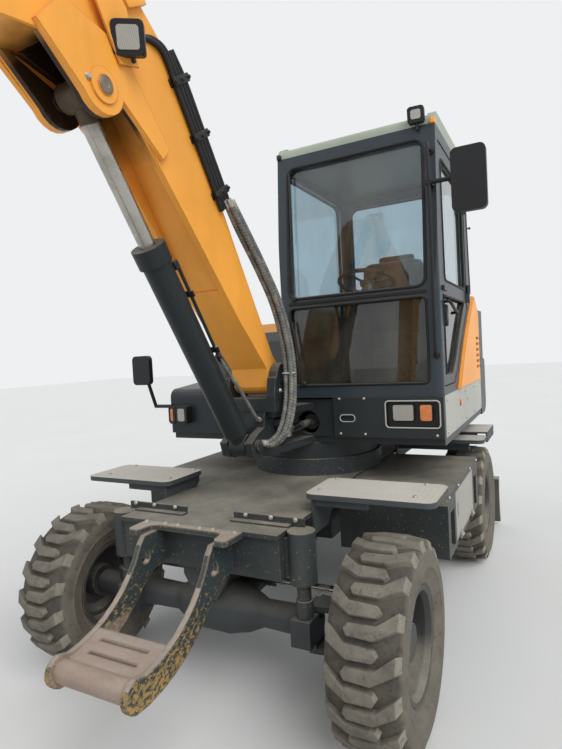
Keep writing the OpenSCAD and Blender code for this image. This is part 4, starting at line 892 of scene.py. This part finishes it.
# Openings: across or along, height, both again for the far corner, and the corners' radius
UPPER_PANE = (38, 1923, 852, 2717, 50)
LOWER_PANE = (38, 1403, 852, 1867, 30)
RIGHT_PANE = (-647, 1653, 237, 2697, 60)
REAR_PANE = (63, 1963, 827, 2687, 60)
DOOR_PANE = (-487, 1963, 197, 2637, 40)
LOW_DOOR_PANE = ((-425, 1877), (-207, 1685), (-38, 1522), (82, 1443), (257, 1443), (257, 1877))


def screen_x(z):
    """How far forward the cab's leaning front is at height z."""
    return SCREEN_X - max(0, z - LEAN_FROM) * LEAN


def add_seal(bm, outline, radius=8):
    """A round rubber along a closed outline."""
    add_tube(bm, outline, radius, 8, closed=True)


def make_seals():
    """Black rubber round every pane, and the bar between the two front panes."""
    bm = bmesh.new()
    add_seal(bm, [place(screen_x(z) - 2, y, z) for y, z in rounded_rect(*UPPER_PANE)], 10)
    add_seal(bm, [place(SCREEN_X - 2, y, z) for y, z in rounded_rect(*LOWER_PANE)], 9)
    add_seal(bm, [place(x, RIGHT_WALL_Y, z) for x, z in rounded_rect(*RIGHT_PANE)])
    add_seal(bm, [place(REAR_WALL_X, y, z) for y, z in rounded_rect(*REAR_PANE)])
    add_box(bm, place(SCREEN_X - 1, CAB_Y, 1895), (12, 820, 22), 4)
    piece("cab_seals", bm, "house", "cab_trim", SEAL)
    door = bmesh.new()
    for outline in (rounded_rect(*DOOR_PANE), LOW_DOOR_PANE):
        add_seal(door, [place(x, DOOR_Y, z) for x, z in outline])
    piece("door_seals", door, "door", "cab_trim", SEAL)


def make_grab_tube():
    """The tube down the cab's front left corner, with a flange at either end."""
    bm = bmesh.new()
    rail = ((335, 2640), (392, 2638), (408, 2620), (410, 2200), (410, 1700), (410, 1580),
            (404, 1556), (386, 1550))
    add_tube(bm, smooth_path([place(x, RAIL_Y, z) for x, z in rail], 5), 9)
    for x, z in ((330, 2638), (389, 1550)):
        flange = [(0, -2), (20, -2), (20, 4), (16, 6), (0, 6)]
        add_turned(bm, flange, place(x, RAIL_Y, z), FRONT)
    piece("grab_tube", bm, "house", "cab_trim", LAMP_BLACK)


def make_wipers():
    """A wiper on either front pane: hub, arm and blade."""
    bm = bmesh.new()
    sizes = ((75, 1925, 60, 2500, 12, 420), (110, 1415, 70, 1690, 10, 240))
    for foot_y, foot_z, tip_y, tip_z, lift, blade_long in sizes:
        base = place(screen_x(foot_z) + 2, foot_y, foot_z)
        tip = place(screen_x(tip_z) + lift, tip_y, tip_z)
        add_turned(bm, [(0, -4), (17, -4), (17, 12), (12, 18), (0, 18)], base, FRONT, 20)
        mid = (base + tip) / 2 + Vector((12 * MM, 0, 0))
        add_tube(bm, smooth_path([base + Vector((14 * MM, 0, 0)), mid, tip], 6), 5, 8)
        way = (tip - base).normalized()
        add_box(bm, tip - way * 20 * MM, (10, 14, blade_long), 3, way)
    piece("wipers", bm, "house", "cab_trim", HOSE_BLACK)


def make_door_grip():
    """The door's handle, its lock and the plate between them."""
    bm = bmesh.new()
    grip = route((250, 918, 1840), (250, 950, 1836), (120, 952, 1800), (60, 952, 1790),
                 (40, 918, 1785))
    add_tube(bm, smooth_path(grip, 5), 9)
    lock = [(0, 0), (26, 0), (26, 10), (20, 16), (0, 16)]
    add_turned(bm, lock, place(225, 916, 1730), LEFT)
    add_box(bm, place(230, 922, 1780), (56, 90, 18), 5, LEFT, UP)
    piece("door_grip", bm, "door", "cab_trim", LAMP_BLACK)


def make_mirror_faces():
    """Mirror glass on the left mirror and on the low right one."""
    bm = bmesh.new()
    add_plate(bm, panel(75, 150, 24), 1.5, place(394, 1095, 2430), BACK)
    add_plate(bm, panel(66, 90, 24), 1.5, place(445, -1085, 1540), BACK)
    piece("mirror_faces", bm, "house", "mirror_shell", MIRROR_FACE)


def make_roof_corners():
    """Orange caps on the roof's front corners."""
    bm = bmesh.new()
    for y in (-18, 908):
        add_box(bm, place(296, y, 2802), (60, 26, 34), 8)
    piece("roof_corners", bm, "house", "house_orange")


def add_lamp(shell, clear, centre, normal, half_w, half_h, deep):
    """A lamp's shell with a lip, broad on a deep lamp, and its lens set into it."""
    inwards = Vector(normal).normalized() * -MM
    add_plate(shell, panel(half_w, half_h, 14), deep, centre + inwards * deep, normal,
              round_by=4)
    lip = 18 if deep > 30 else 4
    add_plate(clear, panel(half_w - lip, half_h - lip, 10), 3, centre + inwards * 0.5, normal,
              round_by=2)


def make_lamps():
    """Head lamp, indicators, the cab's worklight and the box at the right front."""
    shell, clear, amber = bmesh.new(), bmesh.new(), bmesh.new()
    add_lamp(shell, clear, place(389, 700, 1242), FRONT, 60, 47, 18)
    add_lamp(shell, amber, place(391, 825, 1242), FRONT, 35, 47, 18)
    add_lamp(shell, clear, place(352, 830, 2838), (1, 0.1, -0.1), 44, 42, 42)
    add_lamp(shell, clear, place(445, -790, 1230), FRONT, 46, 60, 56)
    add_lamp(shell, amber, place(445, -868, 1230), FRONT, 28, 60, 56)
    add_turned(shell, drum(8, 0, 60), place(330, 830, 2760), UP)
    lamp = piece("lamp_shells", shell, "house", "lamp_housing")
    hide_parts("lamps")
    piece("lamp_lenses", clear, "house", "lamp_housing", CLEAR_LENS)
    side_lens = [(0, 0), (20, 0), (20, 7), (15, 10), (0, 11)]
    add_turned(amber, side_lens, place(-130, 920, 1244), LEFT)
    piece("indicators", amber, "house", "lamp_housing", AMBER_LENS)


def make_recess():
    """The dark floor behind the front lamps, its rim, and the rim of the vent beside it."""
    recess = bmesh.new()
    add_plate(recess, panel(147, 72, 18), 1.2, place(371, 751, 1234), FRONT)
    piece("recess_floor", recess, "house", "cab_trim", LAMP_BLACK)
    rims = bmesh.new()
    add_seal(rims, [place(395, y, z) for y, z in rounded_rect(602, 1160, 900, 1308, 20)], 4)
    add_seal(rims, [place(394, y, z) for y, z in rounded_rect(330, 1190, 420, 1230, 19)], 3)
    piece("recess_rims", rims, "house", "panel_grey", RIM_GREY)


def pad(name, centre, size, lean, seams):
    """A crowned seat pad, pulled in between its corners, with sewn channels at the seams."""
    bm = bmesh.new()
    bmesh.ops.create_cube(bm, size=2)
    bmesh.ops.subdivide_edges(bm, edges=bm.edges, cuts=23, use_grid_fill=True)
    for v in bm.verts:
        a, b, c = v.co
        flat = max(abs(a), abs(b), abs(c))
        long = (abs(a) ** 6 + abs(b) ** 6 + abs(c) ** 6) ** (1 / 6)
        a, b, c = a * flat / long, b * flat / long, c * flat / long
        crown = 1 + 0.32 * (1 - a * a) * (1 - b * b) if c > 0 else 0.9
        for seam in seams if c > 0 else ():
            crown -= 0.16 * math.exp(-((b - seam) / 0.035) ** 2)
        pulled = 1 - 0.05 * (1 - b * b)
        waist = 1 - 0.05 * (1 - a * a)
        v.co = (a * pulled * size[0] / 2 * MM, b * waist * size[1] / 2 * MM,
                c * crown * size[2] / 2 * MM)
    turn = Matrix.Rotation(math.radians(lean), 4, "Y")
    bmesh.ops.transform(bm, verts=bm.verts, matrix=Matrix.Translation(centre) @ turn)
    obj = piece(name, bm, "house", "cab_trim", SEAT_CLOTH, sharp=80)


# Where a pad's channels run, as shares of its half width
CHANNELS = (-0.62, 0.0, 0.62)
COLUMN_WAY = (-0.31, 0, 0.95)
# Metres
STEERING_R = 0.165


def make_seat():
    """The seat's pads on their frame, the consoles with their levers, and the column."""
    pad("seat_cushion", place(-320, CAB_Y, 1640), (450, 460, 104), 0, CHANNELS)
    pad("seat_back", place(-508, CAB_Y, 1965), (520, 450, 100), -80, CHANNELS)
    pad("head_rest", place(-580, CAB_Y, 2215), (110, 260, 76), -80, (0.0,))
    bm = bmesh.new()
    add_box(bm, place(-330, CAB_Y, 1478), (340, 380, 190), 20)
    for z in range(1400, 1600, 40):
        add_box(bm, place(-330, CAB_Y, z), (356, 396, 22), 8)
    add_box(bm, place(-325, CAB_Y, 1584), (440, 450, 20), 8)
    for side in (-1, 1):
        y = CAB_Y + side * 290
        add_box(bm, place(-210, y, 1590), (350, 78, 400), 18)
        add_box(bm, place(-300, y, 1815), (300, 70, 46), 18)
        add_tube(bm, route((-90, y, 1790), (-86, y, 1850), (-80, y, 1920)), 9)
        knob = [(0, -40), (16, -38), (21, -10), (17, 14), (24, 34), (18, 50), (0, 54)]
        add_turned(bm, knob, place(-78, y, 1930), (0.08, 0, 1), 20)
    add_box(bm, place(260, CAB_Y, 1585), (70, 110, 410), 14)
    add_tube(bm, route((262, CAB_Y, 1780), (200, CAB_Y, 1895), (137, CAB_Y, 2008)), 22)
    obj = piece("seat_frame", bm, "house", "cab_trim")
    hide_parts("operator_seat")


def make_steering_wheel():
    """Rim, three spokes and hub."""
    bm = bmesh.new()
    m = frame_at(place(135, CAB_Y, 2010), COLUMN_WAY, LEFT)
    rim = [m @ Vector((STEERING_R * c, STEERING_R * s, 0)) for c, s in circle(40)]
    add_tube(bm, rim, 13, 12, closed=True)
    for k in range(3):
        t = math.radians(90 + 120 * k)
        end = Vector((math.cos(t), math.sin(t), 0)) * (STEERING_R - 0.005)
        add_tube(bm, [m @ Vector((0, 0, -0.012)), m @ (end * 0.6), m @ end], 8, 8)
    hub = [(0, -24), (38, -22), (42, 0), (30, 8), (0, 10)]
    add_turned(bm, hub, place(135, CAB_Y, 2008), COLUMN_WAY, 24)
    piece("steering_wheel", bm, "house", "cab_trim")


# ---- boom, hoses and pins


def make_hose(name, points, radius, guard=True):
    """A hose that hangs between two bodies. Its points run from the low body to the high one."""
    path = smooth_path(route(*points), 4)
    bm = bmesh.new()
    add_tube(bm, path, radius)
    obj = piece(name, bm, None, "line_black", GUARD if guard else HOSE_BLACK, sharp=60)
    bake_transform(obj)
    return path


# The way of the bundle's first hose between its ends
HANG = ((862, 176, 1200), (812, 194, 1330), (790, 196, 1480), (795, 190, 1640),
        (850, 172, 1850), (960, 148, 2040), (1080, 134, 2190))
# Where the hoses of the boom's ram meet its pipes, one on either side
PORT_X, PORT_Y, PORT_Z = 1171, 38, 1608


def make_hoses():
    """The bundle from the boom's lines down to the post, and the hoses of the boom's ram."""
    ends_low, ends_high = bmesh.new(), bmesh.new()
    for k, (dx, dy) in enumerate(((0, 0), (-30, 3), (2, 30), (-29, 34))):
        points = [(905 + dx * 0.9, 98, 1150 - k * 4), (900 + dx * 0.9, 125 + dy, 1148 - k * 4)]
        points += [(x + dx, y + dy, z) for x, y, z in HANG]
        points.append((1165 + dx * 0.8, 130 + dy * 0.8, 2300))
        path = make_hose("boom_hose_%d" % (k + 1), points, 13)
        collar = [(0, -4), (15, -4), (15, 22), (12, 26), (12, 40), (0, 40)]
        add_turned(ends_low, collar, path[0] - Vector((0, 2 * MM, 0)), LEFT, 6)
        add_turned(ends_high, drum(13, -12, 26), path[-1], path[-1] - path[-2], 18)
    for k, side in enumerate((1, -1)):
        points = [(869, 68 * side, 1262), (905, 70 * side, 1275), (965, 68 * side, 1345),
                  (1040, 60 * side, 1440), (1108, 48 * side, 1525), (PORT_X, PORT_Y * side, PORT_Z)]
        path = make_hose("ram_hose_%d" % (k + 1), points, 10, k == 0)
        add_turned(ends_low, drum(14, -3, 24), path[0], (1, 0, 0.35), 6)
    piece("hose_ends_post", ends_low, "post", "rod_chrome", BRIGHT)
    piece("hose_ends_boom", ends_high, "boom", "rod_chrome", BRIGHT)
    tie = bmesh.new()
    ring = [place(x, y, 1500) for x, y in ((756, 184), (798, 180), (806, 210), (796, 238),
                                           (752, 238), (748, 208))]
    add_tube(tie, ring, 3, 6, closed=True)
    piece("hose_tie", tie, "post", "line_black", TIE)


# Along the boom's foot half and square to it, and the same for the boom's ram
BOOM_WAY = Vector((0.545, 0, 0.838))
BOOM_OFF = Vector((-0.838, 0, 0.545))
RAM_WAY = Vector((0.5587, 0, 0.8294))
RAM_OFF = Vector((-0.8294, 0, 0.5587))
RAM_FOOT = place(950, 0, 1140)
HOSE_PITCH = 26


def add_boom_hose(bm, shift, turned_in):
    """A hose up the boom's left face, that far off the middle one, which may turn in."""
    dx, dz = BOOM_OFF.x * shift, BOOM_OFF.z * shift
    way = ((1165, 2290), (1262, 2440), (1360, 2590), (1455, 2735))
    points = [(x + dx, 124, z + dz) for x, z in way]
    points.append((1530 + dx * 0.8, 124, 2830 + dz * 0.8))
    if turned_in:
        points += [(1590 + dx, 118, 2850 + dz), (1640 + dx, 104, 2840 + dz)]
    add_tube(bm, smooth_path(route(*points), 6), 11)


def add_clamp(bm, x, z):
    """Two plates with the hoses between them, and their three bolts."""
    for y in (136, 113):
        add_box(bm, place(x, y, z), (118, 34, 8), 3, LEFT, BOOM_WAY)
    for shift in (-54, 0, 54):
        at = place(x + BOOM_OFF.x * shift, 139, z + BOOM_OFF.z * shift)
        add_bolt(bm, at, LEFT, 13, 8)


def make_boom_lines():
    """Hoses clamped along the boom's left face, and the lamp on its folded bracket."""
    bm = bmesh.new()
    clamps = bmesh.new()
    for k in range(4):
        add_boom_hose(bm, HOSE_PITCH * (k - 1.5), k < 2)
    for x, z in ((1205, 2352), (1340, 2560), (1462, 2746)):
        add_clamp(clamps, x, z)
    lines = piece("boom_hoses", bm, "boom", "line_black")
    piece("hose_clamps", clamps, "boom", "line_black")
    bracket = bmesh.new()
    outline = [(-62, -70), (36, -92), (92, 92), (60, 230), (-62, 180)]
    add_plate(bracket, outline, 6, place(1800, 136.3, 2735), LEFT, (0.5, 0, 0.85))
    add_box(bracket, place(1712, 124, 2925), (120, 40, 26), 3, LEFT, BOOM_WAY)
    piece("lamp_bracket", bracket, "boom", "boom_orange")
    shell, clear = bmesh.new(), bmesh.new()
    add_lamp(shell, clear, place(1822, 186, 2722), (0.78, 0.55, -0.3), 56, 56, 46)
    for x, z in ((1760, 2680), (1820, 2780)):
        add_turned(shell, drum(9, 0, 8), place(x, 148, z), LEFT, 12)
    lamp = piece("boom_lamp", shell, "boom", "lamp_housing")
    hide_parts("boom_lines")
    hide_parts("boom_lines")
    piece("boom_lamp_lens", clear, "boom", "lamp_housing", CLEAR_LENS)


def make_ram_pipes():
    """Steel pipes with their ports along the barrel of the boom's ram."""
    bm = bmesh.new()
    # Side, how far up the barrel the port is, and where the pipe passes below it, in metres
    pipes = ((PORT_Y, 1.0, (0.994, 0.96, 0.8, 0.56)), (-PORT_Y, 0.38, (0.4, 0.45, 0.53)))
    for y, port, stations in pipes:
        at = RAM_FOOT + RAM_OFF * 0.078 + Vector((0, y * MM, 0))
        points = [at - RAM_OFF * 0.03 + RAM_WAY * port] + [at + RAM_WAY * t for t in stations]
        add_tube(bm, smooth_path(points + [place(PORT_X, y, PORT_Z)], 6), 8, 12)
        add_box(bm, at - RAM_OFF * 0.022 + RAM_WAY * port, (40, 40, 30), 5, RAM_OFF, RAM_WAY)
    for t in (0.55, 0.85):
        strap = RAM_FOOT + RAM_OFF * 0.075 + RAM_WAY * t
        add_box(bm, strap, (120, 30, 10), 3, RAM_OFF, RAM_WAY)
    for y in (PORT_Y, -PORT_Y):
        add_turned(bm, drum(13, -26, 6), place(PORT_X, y, PORT_Z), (0.62, 0, 0.78), 6)
    piece("ram_pipes", bm, "boom_ram_barrel", "ram_paint")


def make_pin_ends():
    """Worn steel ends of the boom's pins, each with its turned centre."""
    form = [(0, -1), (29, -1), (31, 0), (31, 3), (28, 5), (12, 5), (10, 3.5), (0, 3.5)]
    for body, pins in (("boom", ((1895, 142, 2543), (3480, 122, 2390))),
                       ("post", ((750, 177, 1470),))):
        bm = bmesh.new()
        for x, y, z in pins:
            add_turned(bm, form, place(x, y, z), LEFT, 36)
            add_turned(bm, form, place(x, -y, z), RIGHT, 36)
        piece("pin_ends_" + body, bm, body, "rod_chrome", PIN_STEEL)


def make_guide_rod():
    """The thin rod behind the door, from the roof to the cover, with its cross bar."""
    bm = bmesh.new()
    rod = route((-650, 903, 2700), (-656, 918, 2684), (-668, 919, 2450), (-700, 919, 2100),
                (-716, 918, 1965), (-720, 906, 1946))
    add_tube(bm, smooth_path(rod, 5), 6, 10)
    bar = route((-640, 914, 2424), (-669, 919, 2412), (-720, 924, 2412), (-770, 926, 2424))
    add_tube(bm, bar, 5, 10)
    for end in (bar[0], bar[-1]):
        add_turned(bm, [(0, -9), (8, -6), (9, 0), (8, 6), (0, 9)], end, FRONT, 14)
    piece("guide_rod", bm, "house", "cab_trim", LAMP_BLACK)


def make_bolts():
    """The bolt heads of four bodies, each as (x, y, z, facing, across flats)."""
    boom, house, chassis, post = [], [], [], []
    for side, face in ((1, LEFT), (-1, RIGHT)):
        boom += [(1963, side * 131, 2545, face, 17), (3400, side * 111, 2360, face, 17),
                 (2140, side * 111, 3050, face, 13)]
        chassis += [(x, side * 959, 836, face, 13) for x in (-380, -120, 300, 560)]
        chassis += [(x, side * y, 951, UP, 15) for x in (780, 1000) for y in (450, 900)]
        chassis += [(1425, side * y, 861, UP, 17) for y in (60, 130, 240)]
        chassis += [(1268, side * y, 888, FRONT, 15) for y in (200, 330, 450)]
        post.append((806, side * 165, 1410, face, 17))
    house += [(395, y, 1323, FRONT, 11) for y in (330, 480)]
    house += [(395, y, 1120, FRONT, 11) for y in (330, 480, 880)]
    house += [(x, 921, z, LEFT, 11) for z in (1300, 1125) for x in (-1040, -700, -340, 300)]
    for body, rows in (("boom", boom), ("house", house), ("chassis", chassis), ("post", post)):
        bm = bmesh.new()
        for x, y, z, facing, across in rows:
            add_bolt(bm, place(x, y, z), facing, across, across / 2)
        piece("bolts_" + body, bm, body, "link_paint", BRIGHT)


def make_floor():
    """A floor for the pictures, which isn't part of the machine."""
    bm = bmesh.new()
    bmesh.ops.create_grid(bm, x_segments=2, y_segments=2, size=40)
    obj = piece("studio_floor", bm, None, None, floor_material())


# ---- the scene

scene.view_settings.view_transform = "Standard"
make_camera()
make_hoses()
make_lights()
make_floor()
dress_nodes()
for wheel in WHEELS:
    make_tyre(*wheel)
make_seals()
make_grab_tube()
make_wipers()
make_door_grip()
make_mirror_faces()
make_roof_corners()
make_lamps()
make_recess()
make_seat()
make_steering_wheel()
make_boom_lines()
make_ram_pipes()
make_pin_ends()
make_guide_rod()
make_bolts()
